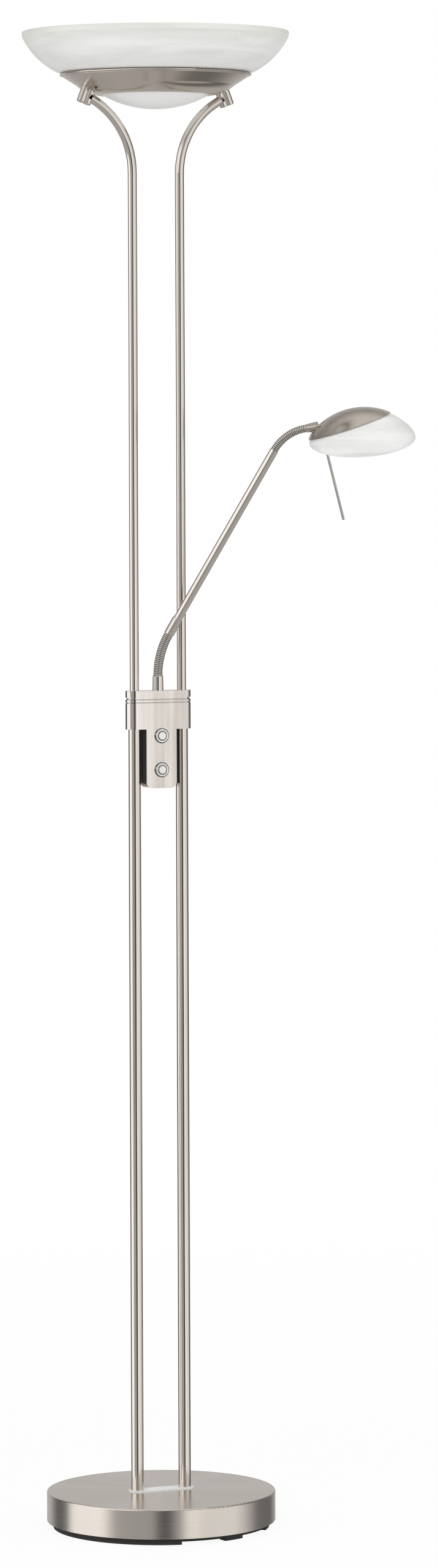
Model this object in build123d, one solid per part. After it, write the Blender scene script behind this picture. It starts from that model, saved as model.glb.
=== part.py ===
from build123d import *

import os
from math import asin, cos, radians, sin

# Torchiere floor lamp with a reading light. Millimetres, +Z up.
# Origin: middle of the base on the floor. The two tubes stand along X, the switch buttons face -Y.

# ---- Fits and clearances ----
snug = 0.05  # radial gap of a piece that is pushed into another one
running = 0.3  # gap between surfaces that move past each other
thread_gap = 0.25  # radial gap of a screw or stud in its hole

# ---- Base ----
cover_diameter = 275.0
cover_height = 35.4
cover_wall = 1.5
cover_edge_round = 2.0
bottom_plate_inset = 5.5  # from the cover's side to the plate's edge
bottom_plate_thickness = 4.0
pad_height = 4.0
pad_inset = 8.0  # from the bottom plate's edge to the middle of the pads
pad_width = 12.0
long_pad_angle = 117.0
short_pad_angle = 12.0
middle_pad_diameter = 24.0
long_pad_direction = -160.3  # middle of the first long pad, counted from +X
short_pad_direction = -70.5  # middle of the first short pad
weight_gap = 2.0  # between the weight's rim and the cover's wall
weight_thickness = 20.0
leg_diameter = 16.0
leg_inset = 42.0  # from the weight's rim to a leg's axis
leg_count = 3
bottom_screw_diameter = 4.0
bottom_screw_length = 14.0
bottom_screw_head_diameter = 8.0
bottom_screw_head_height = 2.2
gland_height = 17.0  # its axis over the cover's lower edge
gland_bore = 7.0
gland_wall = 2.0
gland_flange = 2.5
gland_outside = 4.0
gland_inside = 3.0

# ---- Two tubes and their feet ----
tube_spacing = 61.6
lower_tube_diameter = 15.0
lower_tube_wall = 1.2
lower_tube_length = 922.6
upper_tube_diameter = 11.0
upper_tube_wall = 1.0
upper_tube_straight = 662.0
arm_bend_radius = 100.0
arm_bend_angle = 60.0
arm_end_straight = 4.0
foot_plate_thickness = 1.5
foot_plate_margin = 3.2
stud_diameter = 10.0
stud_bore = 6.0
stud_plug_length = 20.0
washer_diameter = 22.0
washer_thickness = 1.5
nut_width = 16.0
nut_height = 6.0
stud_below_nut = 2.0

# ---- Switch housing ----
housing_radius = 11.0  # of the rounded ends, and half the depth of the band
housing_wall = 2.0
tube_into_housing = 6.0  # how far the lower tube reaches above the housing's floor
band_height = 36.5
bead_height = 2.2
groove_height = 1.5
groove_depth = 0.8
lid_height = 8.3
lid_skirt = 3.0
tongue_width = 39.0
tongue_length = 71.0
tongue_corner = 8.0
tongue_thickness = 2.0
frame_height = 27.0
frame_step = 2.0
frame_wire_hole = 12.0
lid_screw_spacing = 34.0
lid_screw_diameter = 3.0
lid_screw_head_diameter = 5.5
lid_screw_head_height = 2.0
box_inset = 2.5
box_gap = 0.2
box_wall = 1.6
box_bottom_margin = 4.0

# ---- Push buttons ----
upper_button_drop = 7.9  # from the band's lower edge to the upper button's axis
button_spacing = 40.9
button_diameter = 12.0
button_stand_out = 3.0
button_travel = 1.5
button_flange = 1.2
button_flange_lip = 1.0
stem_diameter = 4.0
stem_length = 3.4
bezel_diameter = 18.4
bezel_barrel_diameter = 15.0
bezel_stand_out = 2.0
bezel_bevel = 1.4
bezel_barrel_length = 6.0
switch_width = 13.0
switch_socket_spare = 1.5  # below the pressed stem
stem_in_switch = 1.0  # of a button at rest
terminal_width = 24.0
terminal_height = 12.0
terminal_depth = 9.0
rear_screw_spacing = 30.0
rear_screw_diameter = 3.0
rear_screw_head = 5.6
rear_screw_length = 8.0

# ---- Uplight head ----
hole_radius = 64.4
dish_bottom_below_rim = 76.5  # from the bowl's rim down to the dish's inner edge
dish_wall = 1.3
dish_arc_middle = (81.7, 3.3)  # radius, and height over the dish's inner edge
dish_arc_end = (95.0, 11.6)
dish_slope_end = (112.3, 22.6)
dish_lip = (114.3, 24.6)
lip_bead_radius = 1.3
bowl_rim_radius = 161.1
bowl_rim_height = 6.6  # the upright part at the rim
bowl_wall = 5.0
bowl_arc_start_radius = 160.4
bowl_arc_middle = (146.4, 27.5)  # radius, and depth under the rim
bowl_arc_end = (119.3, 48.0)
bowl_inner_edge = (92.0, 57.0)
bowl_seat_width = 4.0
dome_radius = 64.0
dome_sag = 16.6
dome_wall = 4.0
dome_flange_width = 3.6
dome_flange_height = 3.0
flange_gap = 0.15  # under the dome's flange
dome_ring_width = 3.0
dome_skirt_width = 1.5
bridge_width = 20.0
bridge_thickness = 1.5
bridge_height = 22.0  # its top over the dish's inner edge
bridge_foot_inner = 76.0
bridge_foot_outer = 88.0
holder_size = (14.0, 18.0, 25.0)
holder_spacing = 134.0
lamp_tube_diameter = 10.0
lamp_pin_diameter = 7.0
lamp_pin_depth = 3.0
lamp_axis_over_bridge = 16.0
lamp_flat_thickness = 2.0
lamp_flat_length = 8.0
block_barrel_diameter = 10.0
block_barrel_spacing = 8.0
block_length = 30.0
block_tilt_angle = 21.0
block_foot_below_arm_end = 6.2
block_foot_outside_arm_end = 9.6
block_hole_gap = 0.1
block_screw_diameter = 3.0
block_screw_length = 12.0
block_screw_head = 4.6
block_screw_recess = 1.0

# ---- Reading arm ----
arm_azimuth = 34.6  # of the arm's plane, from +X towards the buttons' side
ferrule_length = 18.0
ferrule_diameter = 13.5
ferrule_top_diameter = 12.8
ferrule_chamfer = 1.0
swivel_spigot_diameter = 9.0
swivel_nut_height = 4.0
swivel_thread_below_nut = 1.5
arm_bore = 5.0
socket_depth = 9.0
lower_neck_diameter = 11.3
lower_neck_length = 52.2
lower_neck_angle = 30.5
upper_neck_diameter = 9.5
upper_neck_length = 48.6
upper_neck_angle = 51.5
rib_pitch = 2.2
rib_depth = 0.45
rib_groove_share = 0.25
neck_bore = 5.0
sleeve_diameter = 12.3
sleeve_length = 22.0
rod_diameter = 10.3
rod_length = 234.5
rod_wall = 1.0
rod_into_sleeve = 12.0
upper_ferrule_length = 10.0
upper_ferrule_overlap = 12.0
stem_start_diameter = 9.8
stem_end_diameter = 12.3
stem_sleeve_length = 12.4

# ---- Reading head ----
dome_out_radius = 65.0  # of the cap's outer side at the rim plane
dome_out_depth = 38.0
dome_shoulder = 14.0  # radius of the dome's side arc
shade_wall = 3.0
cap_gap = 0.2
cap_wall = 1.2
cap_cut_slope_angle = 19.8
cap_cut_turn_angle = -31.0
cap_cut_height = 22.1
cap_notch_length = 24.0
cap_notch_width = 15.0
head_pitch_angle = -0.1
head_roll_angle = 18.7
head_rear_radius = 55.2  # from the dome's axis back to the sleeve's end
head_sleeve_height = 17.1  # of the sleeve's end over the rim
inner_stem_diameter = 9.0
inner_stem_drop = 1.0  # of the inner stem's axis under the sleeve's end
stem_overlap = 2.0
plate_back = 30.5  # the bracket's plate, back from the dome's axis
plate_low = 6.0
bracket_height = 26.6  # its top over the rim
holder_axis_height = 15.0
spacer_diameter = 16.0
small_holder_length = 14.0
small_holder_diameter = 17.0
capsule_diameter = 11.0
capsule_length = 30.0
capsule_pin_depth = 4.0
bracket_width = 12.0
bracket_thickness = 2.0
boss_diameter = 7.4
clamp_nut_width = 14.0
clamp_nut_height = 2.0
handle_diameter = 3.2
handle_length = 113.0
handle_lean_angle = 10.0
handle_back = 48.8  # its top, back from the dome's axis
handle_collar_diameter = 5.6
handle_collar_length = 4.0

# ---- Heights and places that follow ----
bottom_plate_diameter = cover_diameter - 2 * bottom_plate_inset
pad_ring_radius = bottom_plate_diameter / 2 - pad_inset
weight_radius = cover_diameter / 2 - cover_wall - weight_gap
leg_ring_radius = weight_radius - leg_inset
plate_bottom = pad_height
plate_top = plate_bottom + bottom_plate_thickness
cover_top = plate_top + cover_height
weight_top = cover_top - cover_wall
weight_bottom = weight_top - weight_thickness
tube_x = tube_spacing / 2
lower_tube_top = cover_top + lower_tube_length
band_bottom = lower_tube_top - tube_into_housing
floor_top = band_bottom + housing_wall
groove_bottom = band_bottom + band_height - bead_height - 2 * groove_height
band_top = band_bottom + band_height
lid_top = band_top + lid_height + groove_height
frame_top = floor_top + frame_height
upper_tube_bottom = lower_tube_top + frame_step
arm_bend_start = upper_tube_bottom + upper_tube_straight
arm_end_x = (
    tube_x
    + arm_bend_radius * (1 - cos(radians(arm_bend_angle)))
    + arm_end_straight * sin(radians(arm_bend_angle))
)
arm_end_z = (
    arm_bend_start
    + arm_bend_radius * sin(radians(arm_bend_angle))
    + arm_end_straight * cos(radians(arm_bend_angle))
)
dish_bottom = arm_end_z + 4.9
bowl_rim_z = dish_bottom + dish_bottom_below_rim
front_y = -housing_radius
lid_hollow_radius = housing_radius - 2 * housing_wall
swivel_nut_width = 2 * (lid_hollow_radius - running) * cos(radians(30))
upper_button_z = band_bottom - upper_button_drop
button_heights = (upper_button_z, upper_button_z - button_spacing)
box_half_depth = housing_radius - tongue_thickness - box_gap
bridge_top = dish_bottom + bridge_height
lamp_z = bridge_top + lamp_axis_over_bridge
plate_x = -plate_back
shade_radius = dome_out_radius - cap_wall - cap_gap
shade_depth = dome_out_depth - cap_wall - cap_gap
bracket_top = bracket_height


# ---- Small helpers ----
def disc(radius, low, high, x=0.0, y=0.0):
    """A solid cylinder along Z between two heights."""
    return Pos(x, y, (low + high) / 2) * Cylinder(radius, high - low)


def ring(radius, bore_radius, low, high, x=0.0, y=0.0):
    """A tube along Z between two heights."""
    bore = disc(bore_radius, low - 1, high + 1, x, y)
    return disc(radius, low, high, x, y) - bore


def oval(radius, low, high):
    """A bar with rounded ends, as wide as both tubes and their margins."""
    face = SlotCenterToCenter(tube_spacing, 2 * radius)
    return extrude(Pos(0, 0, low) * face, high - low)


def hexagon(width, low, high, x=0.0, y=0.0):
    """A hexagonal bar across flats along Z."""
    face = RegularPolygon(width / 2, 6, major_radius=False)
    return extrude(Pos(x, y, low) * face, high - low)


def block(x_range, y_range, z_range):
    """A box between two limits on each axis."""
    size = [pair[1] - pair[0] for pair in (x_range, y_range, z_range)]
    middle = [sum(pair) / 2 for pair in (x_range, y_range, z_range)]
    return Pos(*middle) * Box(*size)


def turned(edges):
    """A full turn about Z of the closed outline that the edges make in XZ."""
    return revolve(make_face(edges), Axis.Z)


def corners(*points):
    """Straight edges through (radius, height) points, closed."""
    path = [(radius, 0, height) for radius, height in points]
    return Polyline(*path, close=True)


def both_sides(make):
    """The same piece at the left and the right tube."""
    return Compound(children=[make(-tube_x), make(tube_x)])


def mirrored(piece):
    """A piece on the right side, and its mirror image on the left."""
    return piece.mirror(Plane.YZ)


def along_y(radius, start, end, x, z):
    """A cylinder along Y between two depths."""
    middle = Location((x, (start + end) / 2, z), (90, 0, 0))
    return middle * Cylinder(radius, end - start)


# ---- Base pieces ----
def bottom_screw_places():
    """Where the three bottom screws and the weight's legs stand."""
    steps = [radians(90 + 360 / leg_count * (i + 0.5)) for i in range(leg_count)]
    return [(leg_ring_radius * cos(a), leg_ring_radius * sin(a)) for a in steps]


def gland_axis(radius, start, end):
    """A cylinder along the cord gland's axis, between two distances behind the middle."""
    return along_y(radius, start, end, 0, plate_top + gland_height)


def base_cover():
    radius = cover_diameter / 2
    body = disc(radius, plate_top, cover_top)
    top_edge = body.edges().sort_by(Axis.Z)[-1]
    body = fillet(top_edge, cover_edge_round)
    body -= disc(radius - cover_wall, plate_top - 1, weight_top)
    for x in (-tube_x, tube_x):
        body -= disc(stud_diameter / 2 + thread_gap, weight_top - 1, cover_top + 1, x)
    return body - gland_axis(gland_bore / 2 + gland_wall + snug, radius - 10, radius + 10)


def base_weight():
    radius = weight_radius
    body = disc(radius, weight_bottom, weight_top)
    for x, y in bottom_screw_places():
        body += disc(leg_diameter / 2, plate_top, weight_bottom + 1, x, y)
        hole = disc(bottom_screw_diameter / 2, plate_top - 1, plate_top + bottom_screw_length, x, y)
        body -= hole
    for x in (-tube_x, tube_x):
        body -= disc(stud_diameter / 2 + thread_gap, weight_bottom - 1, weight_top + 1, x)
    depth = gland_inside + cover_wall + 1.5 * gland_flange
    slot_width = gland_bore + 2 * gland_wall + 4 * gland_flange
    inner = cover_diameter / 2 - depth - cover_wall
    slot = block(
        (-slot_width / 2, slot_width / 2), (inner, radius + 1), (weight_bottom - 1, weight_top + 1)
    )
    return body - slot


def base_bottom_plate():
    plate = disc(bottom_plate_diameter / 2, plate_bottom, plate_top)
    for x, y in bottom_screw_places():
        plate -= disc(bottom_screw_diameter / 2 + thread_gap, 0, plate_top + 1, x, y)
        head = bottom_screw_head_diameter / 2 + thread_gap
        plate -= disc(head, 0, plate_bottom + bottom_screw_head_height, x, y)
    return plate


def bottom_screws():
    screws = []
    for x, y in bottom_screw_places():
        head_top = plate_bottom + bottom_screw_head_height
        head = disc(bottom_screw_head_diameter / 2, plate_bottom, head_top, x, y)
        shank = disc(bottom_screw_diameter / 2, plate_bottom, plate_top + bottom_screw_length - 1, x, y)
        slot = block(
            (x - bottom_screw_diameter / 2, x + bottom_screw_diameter / 2),
            (y - 0.5, y + 0.5),
            (plate_bottom - 1, plate_bottom + 1),
        )
        screws.append(head + shank - slot)
    return Compound(children=screws)


def pad(direction, angle):
    """One arc-shaped foot pad, with its middle in the given direction."""
    half = angle / 2
    outline = [
        CenterArc((0, 0), pad_ring_radius + pad_width / 2, direction - half, angle),
        CenterArc((0, 0), pad_ring_radius - pad_width / 2, direction - half, angle),
    ]
    joined = [
        Line(outline[0] @ 0, outline[1] @ 0),
        Line(outline[0] @ 1, outline[1] @ 1),
    ]
    return extrude(make_face(outline + joined), pad_height)


def foot_pads():
    pads = [disc(middle_pad_diameter / 2, 0, pad_height)]
    for half_turn in (0, 180):
        pads.append(pad(long_pad_direction + half_turn, long_pad_angle))
        pads.append(pad(short_pad_direction + half_turn, short_pad_angle))
    return Compound(children=pads)


def cord_gland():
    outer = cover_diameter / 2
    barrel = gland_bore / 2 + gland_wall
    inside = outer - cover_wall - 1.0
    body = gland_axis(barrel, inside - gland_inside, outer + gland_outside)
    body += gland_axis(barrel + gland_flange, inside - gland_inside, inside)
    body += gland_axis(barrel + gland_flange, outer + 0.2, outer + gland_outside)
    return body - gland_axis(gland_bore / 2, inside - 20, outer + 20)


def tube_foot_plate():
    radius = lower_tube_diameter / 2 + foot_plate_margin
    plate = oval(radius, cover_top, cover_top + foot_plate_thickness)
    for x in (-tube_x, tube_x):
        plate -= disc(lower_tube_diameter / 2 + snug, cover_top - 1, cover_top + 5, x)
    return plate


# ---- Tubes, studs, washers and nuts ----
def lower_tube(x):
    outer = lower_tube_diameter / 2
    return ring(outer, outer - lower_tube_wall, cover_top, lower_tube_top, x)


def tube_stud(x):
    bore = lower_tube_diameter / 2 - lower_tube_wall
    end = weight_bottom - washer_thickness - nut_height - stud_below_nut
    body = disc(bore - snug, cover_top, cover_top + stud_plug_length, x)
    body += disc(stud_diameter / 2, end, cover_top + 1, x)
    return body - disc(stud_bore / 2, end - 1, cover_top + stud_plug_length + 1, x)


def stud_washer(x):
    low = weight_bottom - washer_thickness
    return ring(washer_diameter / 2, stud_diameter / 2 + thread_gap, low, weight_bottom, x)


def stud_nut(x):
    high = weight_bottom - washer_thickness
    body = hexagon(nut_width, high - nut_height, high, x)
    return body - disc(stud_diameter / 2 + snug, high - nut_height - 1, high + 1, x)


def upper_tube_path():
    """Centre line of the right upper tube: up, then outward along an arc."""

    def on_bend(angle):
        across = arm_bend_radius * (1 - cos(radians(angle)))
        return tube_x + across, 0, arm_bend_start + arm_bend_radius * sin(radians(angle))

    rise = Line((tube_x, 0, upper_tube_bottom), on_bend(0))
    bend = ThreePointArc(on_bend(0), on_bend(arm_bend_angle / 2), on_bend(arm_bend_angle))
    end = Line(on_bend(arm_bend_angle), (arm_end_x, 0, arm_end_z))
    return rise, bend, end


def upper_tube():
    """Right upper tube: a straight run, a bend and a short straight end."""
    rise, bend, end = upper_tube_path()
    outer = upper_tube_diameter / 2
    inner = outer - upper_tube_wall
    start = Plane(origin=rise @ 0, z_dir=(0, 0, 1))
    section = start * Circle(outer) - start * Circle(inner)
    return sweep(section, path=Wire([rise, bend, end]))


# ---- Switch housing ----
def tongue(y_outer, y_inner):
    """A flat plate that hangs from the band, its lower corners rounded."""
    low = band_bottom - tongue_length
    high = band_bottom + housing_wall
    plate = block((-tongue_width / 2, tongue_width / 2), sorted((y_outer, y_inner)), (low, high))
    lower_edges = plate.edges().filter_by(Axis.Y).group_by(Axis.Z)[0]
    return fillet(lower_edges, tongue_corner)


def button_holes(radius):
    """Bores for the two buttons through the front."""
    return [along_y(radius, front_y - 10, front_y + 10, 0, z) for z in button_heights]


def rear_screw_places():
    middle = sum(button_heights) / 2
    return [middle - rear_screw_spacing / 2, middle + rear_screw_spacing / 2]


def housing_shell():
    body = oval(housing_radius, band_bottom, band_top)
    body -= oval(housing_radius - housing_wall, floor_top, band_top + 1)
    body += tongue(front_y, front_y + tongue_thickness)
    body += tongue(-front_y, -front_y - tongue_thickness)
    for low in (groove_bottom, groove_bottom + groove_height + bead_height):
        cut = oval(housing_radius + 1, low, low + groove_height)
        body -= cut - oval(housing_radius - groove_depth, low - 1, low + groove_height + 1)
    for x in (-tube_x, tube_x):
        body -= disc(lower_tube_diameter / 2 + snug, band_bottom - 1, floor_top + 1, x)
    body -= disc(frame_wire_hole / 2, band_bottom - 1, floor_top + 1)
    for hole in button_holes(bezel_barrel_diameter / 2 + snug):
        body -= hole
    for z in rear_screw_places():
        body -= along_y(rear_screw_diameter / 2 + thread_gap, 0, housing_radius + 1, 0, z)
    return body


def housing_frame():
    """Inner block that holds the tops of the lower tubes and the feet of the upper ones."""
    body = oval(housing_radius - housing_wall - 2 * snug, floor_top, frame_top)
    for x in (-tube_x, tube_x):
        body -= disc(lower_tube_diameter / 2 + snug, floor_top - 1, lower_tube_top, x)
        body -= disc(upper_tube_diameter / 2 - upper_tube_wall, floor_top, frame_top, x)
        body -= disc(upper_tube_diameter / 2 + snug, upper_tube_bottom, frame_top + 1, x)
    body -= disc(frame_wire_hole / 2, floor_top - 1, frame_top + 1)
    for x in (-lid_screw_spacing / 2, lid_screw_spacing / 2):
        body -= disc(lid_screw_diameter / 2 + thread_gap, floor_top - 1, frame_top + 1, x)
        head = lid_screw_head_diameter / 2 + thread_gap
        body -= disc(head, floor_top - 1, floor_top + lid_screw_head_height, x)
    return body


def housing_lid():
    body = oval(housing_radius, band_top + groove_height, lid_top)
    neck = oval(housing_radius - housing_wall - 2 * snug, band_top - lid_skirt, lid_top - 1)
    body += neck
    body -= oval(lid_hollow_radius, band_top - lid_skirt - 1, lid_top - housing_wall)
    for x in (-lid_screw_spacing / 2, lid_screw_spacing / 2):
        body += disc(lid_screw_diameter, frame_top, lid_top - 1, x)
        body -= disc(lid_screw_diameter / 2, frame_top - 1, lid_top - housing_wall, x)
    for x in (-tube_x, tube_x):
        body -= disc(upper_tube_diameter / 2 + snug, frame_top, lid_top + 1, x)
    return body - disc(swivel_spigot_diameter / 2 + snug, frame_top, lid_top + 1)


def lid_screws():
    screws = []
    for x in (-lid_screw_spacing / 2, lid_screw_spacing / 2):
        head_top = floor_top + lid_screw_head_height
        head = disc(lid_screw_head_diameter / 2, floor_top, head_top, x)
        tip = lid_top - housing_wall - 1
        screws.append(head + disc(lid_screw_diameter / 2, floor_top, tip, x))
    return Compound(children=screws)


def switch_box():
    """Dark plastic body between the tongues, open at its top, with a wall all round."""
    half = tongue_width / 2 - box_inset
    low = band_bottom - tongue_length + box_bottom_margin
    depth = (-box_half_depth, box_half_depth)
    body = block((-half, half), depth, (low, band_bottom))
    lower_edges = body.edges().filter_by(Axis.Y).group_by(Axis.Z)[0]
    body = fillet(lower_edges, tongue_corner - box_inset)
    inside = (-half + box_wall, half - box_wall)
    inner_depth = (-box_half_depth + box_wall, box_half_depth - box_wall)
    body -= block(inside, inner_depth, (low + tongue_corner, band_bottom + 1))
    for hole in button_holes(bezel_barrel_diameter / 2 + snug):
        body -= hole
    for z in rear_screw_places():
        body -= along_y(rear_screw_diameter / 2, 0, housing_radius, 0, z)
    return body


def rear_screws():
    screws = []
    start = housing_radius + 1.2
    for z in rear_screw_places():
        head = along_y(rear_screw_head / 2, housing_radius, start, 0, z)
        shank = along_y(rear_screw_diameter / 2, start - rear_screw_length + 3, start, 0, z)
        slot = block((-0.4, 0.4), (start - 0.6, start + 1), (z - rear_screw_head, z + rear_screw_head))
        screws.append(head + shank - slot)
    return Compound(children=screws)


# ---- Push buttons ----
def button_bezel(z):
    outer = along_y(bezel_diameter / 2, front_y - bezel_stand_out, front_y, 0, z)
    front_edge = outer.edges().filter_by(GeomType.CIRCLE).sort_by(Axis.Y)[0]
    outer = chamfer(front_edge, bezel_bevel)
    barrel = along_y(bezel_barrel_diameter / 2, front_y - 0.5, front_y + bezel_barrel_length, 0, z)
    hole = along_y(button_diameter / 2 + running, front_y - 10, front_y + 20, 0, z)
    return outer + barrel - hole


def push_button(z):
    front = front_y - button_stand_out
    barrel_end = front_y + bezel_barrel_length
    flange_end = barrel_end + button_flange
    body = along_y(button_diameter / 2, front, flange_end, 0, z)
    front_edge = body.edges().filter_by(GeomType.CIRCLE).sort_by(Axis.Y)[0]
    body = fillet(front_edge, 0.5)
    lip_radius = button_diameter / 2 + button_flange_lip
    body += along_y(lip_radius, barrel_end, flange_end, 0, z)
    return body + along_y(stem_diameter / 2, flange_end - 1, flange_end + stem_length, 0, z)


def push_switch(z):
    """The switch behind a button, its socket open towards the button's stem."""
    flange_end = front_y + bezel_barrel_length + button_flange
    front = flange_end + stem_length - stem_in_switch
    half = switch_width / 2
    body = block((-half, half), (front, box_half_depth - box_wall), (z - half, z + half))
    depth = stem_in_switch + button_travel + switch_socket_spare
    socket = along_y(stem_diameter / 2 + running, front - 1, front + depth, 0, z)
    return body - socket


def terminal_block():
    middle = sum(button_heights) / 2
    half = terminal_width / 2
    back = box_half_depth - box_wall
    z_range = (middle - terminal_height / 2, middle + terminal_height / 2)
    body = block((-half, half), (back - terminal_depth, back), z_range)
    for i in range(3):
        x = (i - 1) * terminal_width / 3
        body -= disc(1.6, middle - terminal_height, middle + terminal_height, x, back - terminal_depth / 2)
    for z in rear_screw_places():
        body -= along_y(rear_screw_diameter / 2 + 1, 0, housing_radius, 0, z)
    return body


# ---- Uplight head ----
def dish_outline(offset):
    """Edges of the dish's outer side, or of its inner side when offset by the wall."""
    up = offset
    start = (hole_radius, 0, dish_bottom + up)
    middle = (dish_arc_middle[0], 0, dish_bottom + dish_arc_middle[1] + up)
    end = (dish_arc_end[0], 0, dish_bottom + dish_arc_end[1] + up)
    slope = (dish_slope_end[0], 0, dish_bottom + dish_slope_end[1] + up)
    return ThreePointArc(start, middle, end), Line(end, slope)


def uplight_dish():
    lower_arc, lower_slope = dish_outline(0)
    upper_arc, upper_slope = dish_outline(dish_wall)
    inner_side = Line(lower_arc @ 0, upper_arc @ 0)
    outer_side = Line(lower_slope @ 1, upper_slope @ 1)
    body = turned([lower_arc, lower_slope, outer_side, upper_slope, upper_arc, inner_side])
    lip = (dish_lip[0], dish_bottom + dish_lip[1])
    slope = (dish_slope_end[0], dish_bottom + dish_slope_end[1])
    rise = turned(
        corners(
            (slope[0] - 0.4, slope[1]),
            (lip[0] + 0.5, lip[1] - 0.4),
            (lip[0] - 0.9, lip[1] + 0.5),
            (slope[0] - 0.9, slope[1] + dish_wall),
        )
    )
    bead = revolve(Plane.XZ * Pos(lip[0], lip[1]) * Circle(lip_bead_radius), Axis.Z)
    body = body + rise + bead
    for side in (-1, 1):
        body -= dish_wire_hole(side)
    return body


def dish_inner_at(radius):
    """Height of the dish's inner side at a radius on its arc."""
    arc = dish_outline(dish_wall)[0]
    low, high = 0.0, 1.0
    for _ in range(40):
        middle = (low + high) / 2
        if (arc @ middle).X < radius:
            low = middle
        else:
            high = middle
    return (arc @ low).Z


def dish_wire_hole(side):
    """A hole for the leads and the clamp screws' heads above a head block."""
    top = block_point(block_length - 4, 0)
    middle = (side * top[0], 0, top[1])
    tilt = -side * block_tilt_angle
    return Location(middle, (0, tilt, 0)) * Cylinder(arm_bore / 2, block_length)


def dish_below():
    """Everything under the dish's inner side, to cut what stands on the dish."""
    lower = dish_bottom - dish_bottom_below_rim
    arc, slope = dish_outline(dish_wall + 0.02)
    out = Line(slope @ 1, (dish_slope_end[0], 0, lower))
    base = Line((dish_slope_end[0], 0, lower), (hole_radius, 0, lower))
    back = Line((hole_radius, 0, lower), arc @ 0)
    return turned([arc, slope, out, base, back])


def dish_above():
    """Everything over the dish's outer side, to cut what is seated under the dish."""
    higher = dish_bottom + dish_bottom_below_rim
    arc, slope = dish_outline(-0.02)
    out = Line(slope @ 1, (dish_slope_end[0], 0, higher))
    top = Line((dish_slope_end[0], 0, higher), (hole_radius, 0, higher))
    back = Line((hole_radius, 0, higher), arc @ 0)
    return turned([arc, slope, out, top, back])


def bowl_glass():
    rim = bowl_rim_z
    outer_points = [
        (bowl_arc_start_radius, rim - bowl_rim_height),
        (bowl_arc_middle[0], rim - bowl_arc_middle[1]),
        (bowl_arc_end[0], rim - bowl_arc_end[1]),
    ]
    edge = (bowl_inner_edge[0], rim - bowl_inner_edge[1])
    w = bowl_wall
    inner_points = [
        (bowl_arc_start_radius - w, rim - bowl_rim_height + 0.1 * w),
        (bowl_arc_middle[0] - 0.72 * w, rim - bowl_arc_middle[1] + 0.69 * w),
        (bowl_arc_end[0] - 0.42 * w, rim - bowl_arc_end[1] + 0.91 * w),
    ]
    inner_edge = (bowl_inner_edge[0], rim - bowl_inner_edge[1] + 1.05 * w)

    def at(point):
        return (point[0], 0, point[1])

    top_out = (bowl_rim_radius - 1, rim)
    top_in = (bowl_rim_radius - w + 1, rim)
    path = [
        Line(at(outer_points[0]), (bowl_rim_radius, 0, rim - 1)),
        Line((bowl_rim_radius, 0, rim - 1), at(top_out)),
        Line(at(top_out), at(top_in)),
        Line(at(top_in), (bowl_rim_radius - w, 0, rim - 1)),
        Line((bowl_rim_radius - w, 0, rim - 1), at(inner_points[0])),
        ThreePointArc(*[at(p) for p in inner_points]),
        Line(at(inner_points[2]), at(inner_edge)),
        Line(at(inner_edge), at(edge)),
        Line(at(edge), at(outer_points[2])),
        ThreePointArc(*[at(p) for p in reversed(outer_points)]),
    ]
    return turned(path)


def bowl_underside_at(radius):
    """Height of the bowl's straight inner part at a radius."""
    outer, inner = bowl_arc_end, bowl_inner_edge
    share = (outer[0] - radius) / (outer[0] - inner[0])
    return bowl_rim_z - (outer[1] + share * (inner[1] - outer[1]))


def bowl_seat_ring():
    """Soft ring between the dish and the bowl's inner edge."""
    inner = bowl_inner_edge[0] + 1
    outer = inner + bowl_seat_width
    low = dish_bottom
    ring_face = corners(
        (inner, low),
        (outer, low),
        (outer, bowl_underside_at(outer) - 0.02),
        (inner, bowl_underside_at(inner) - 0.02),
    )
    return turned(ring_face) - dish_below()


def lens(radius, sag, top):
    """A flat-topped slice of a ball, as deep as its sag."""
    ball = (radius**2 + sag**2) / (2 * sag)
    centre = top - sag + ball
    return Pos(0, 0, centre) * Sphere(ball) - disc(ball + 1, top, centre + ball + 1)


def dome_glass():
    """Shallow glass dome that hangs through the dish's hole on its flange."""
    flange_low = dish_bottom + dish_wall + flange_gap
    flange_top = flange_low + dome_flange_height
    body = lens(dome_radius, dome_sag, dish_bottom)
    body += disc(dome_radius, dish_bottom, flange_top)
    body += disc(dome_radius + dome_flange_width, flange_low, flange_top)
    body -= lens(dome_radius - dome_wall, dome_sag - dome_wall / 2, dish_bottom)
    return body - disc(dome_radius - dome_wall, dish_bottom - 0.01, flange_top + 1)


def dome_ring():
    """Flat ring that keeps the dome's flange down on the dish."""
    low = dish_bottom + dish_wall + flange_gap + dome_flange_height
    inner = dome_radius - dome_wall + 1
    outer = dome_radius + dome_flange_width + dome_ring_width
    body = ring(outer, inner, low, low + 1.2)
    skirt_inner = outer - dome_skirt_width
    skirt = corners(
        (skirt_inner, dish_inner_at(skirt_inner) + running),
        (outer, dish_inner_at(outer) + running),
        (outer, low + 0.5),
        (skirt_inner, low + 0.5),
    )
    return body + turned(skirt)


def lamp_bridge():
    """Strip across the dish that carries the lamp holders, its feet on the dish."""
    half = bridge_width / 2
    inner = bridge_foot_inner
    outer = bridge_foot_outer
    strip = block((-outer, outer), (-half, half), (bridge_top - bridge_thickness, bridge_top))
    body = strip
    for side in (-1, 1):
        x_range = sorted((side * (outer - bridge_thickness), side * outer))
        leg = block(x_range, (-half, half), (dish_bottom - 5, bridge_top))
        foot_range = sorted((side * inner, side * outer))
        foot = block(foot_range, (-half, half), (dish_bottom - 5, dish_bottom + 10))
        body += (leg + foot) - dish_below()
    for side in (-1, 1):
        body -= dish_wire_hole(side)
    return body


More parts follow.
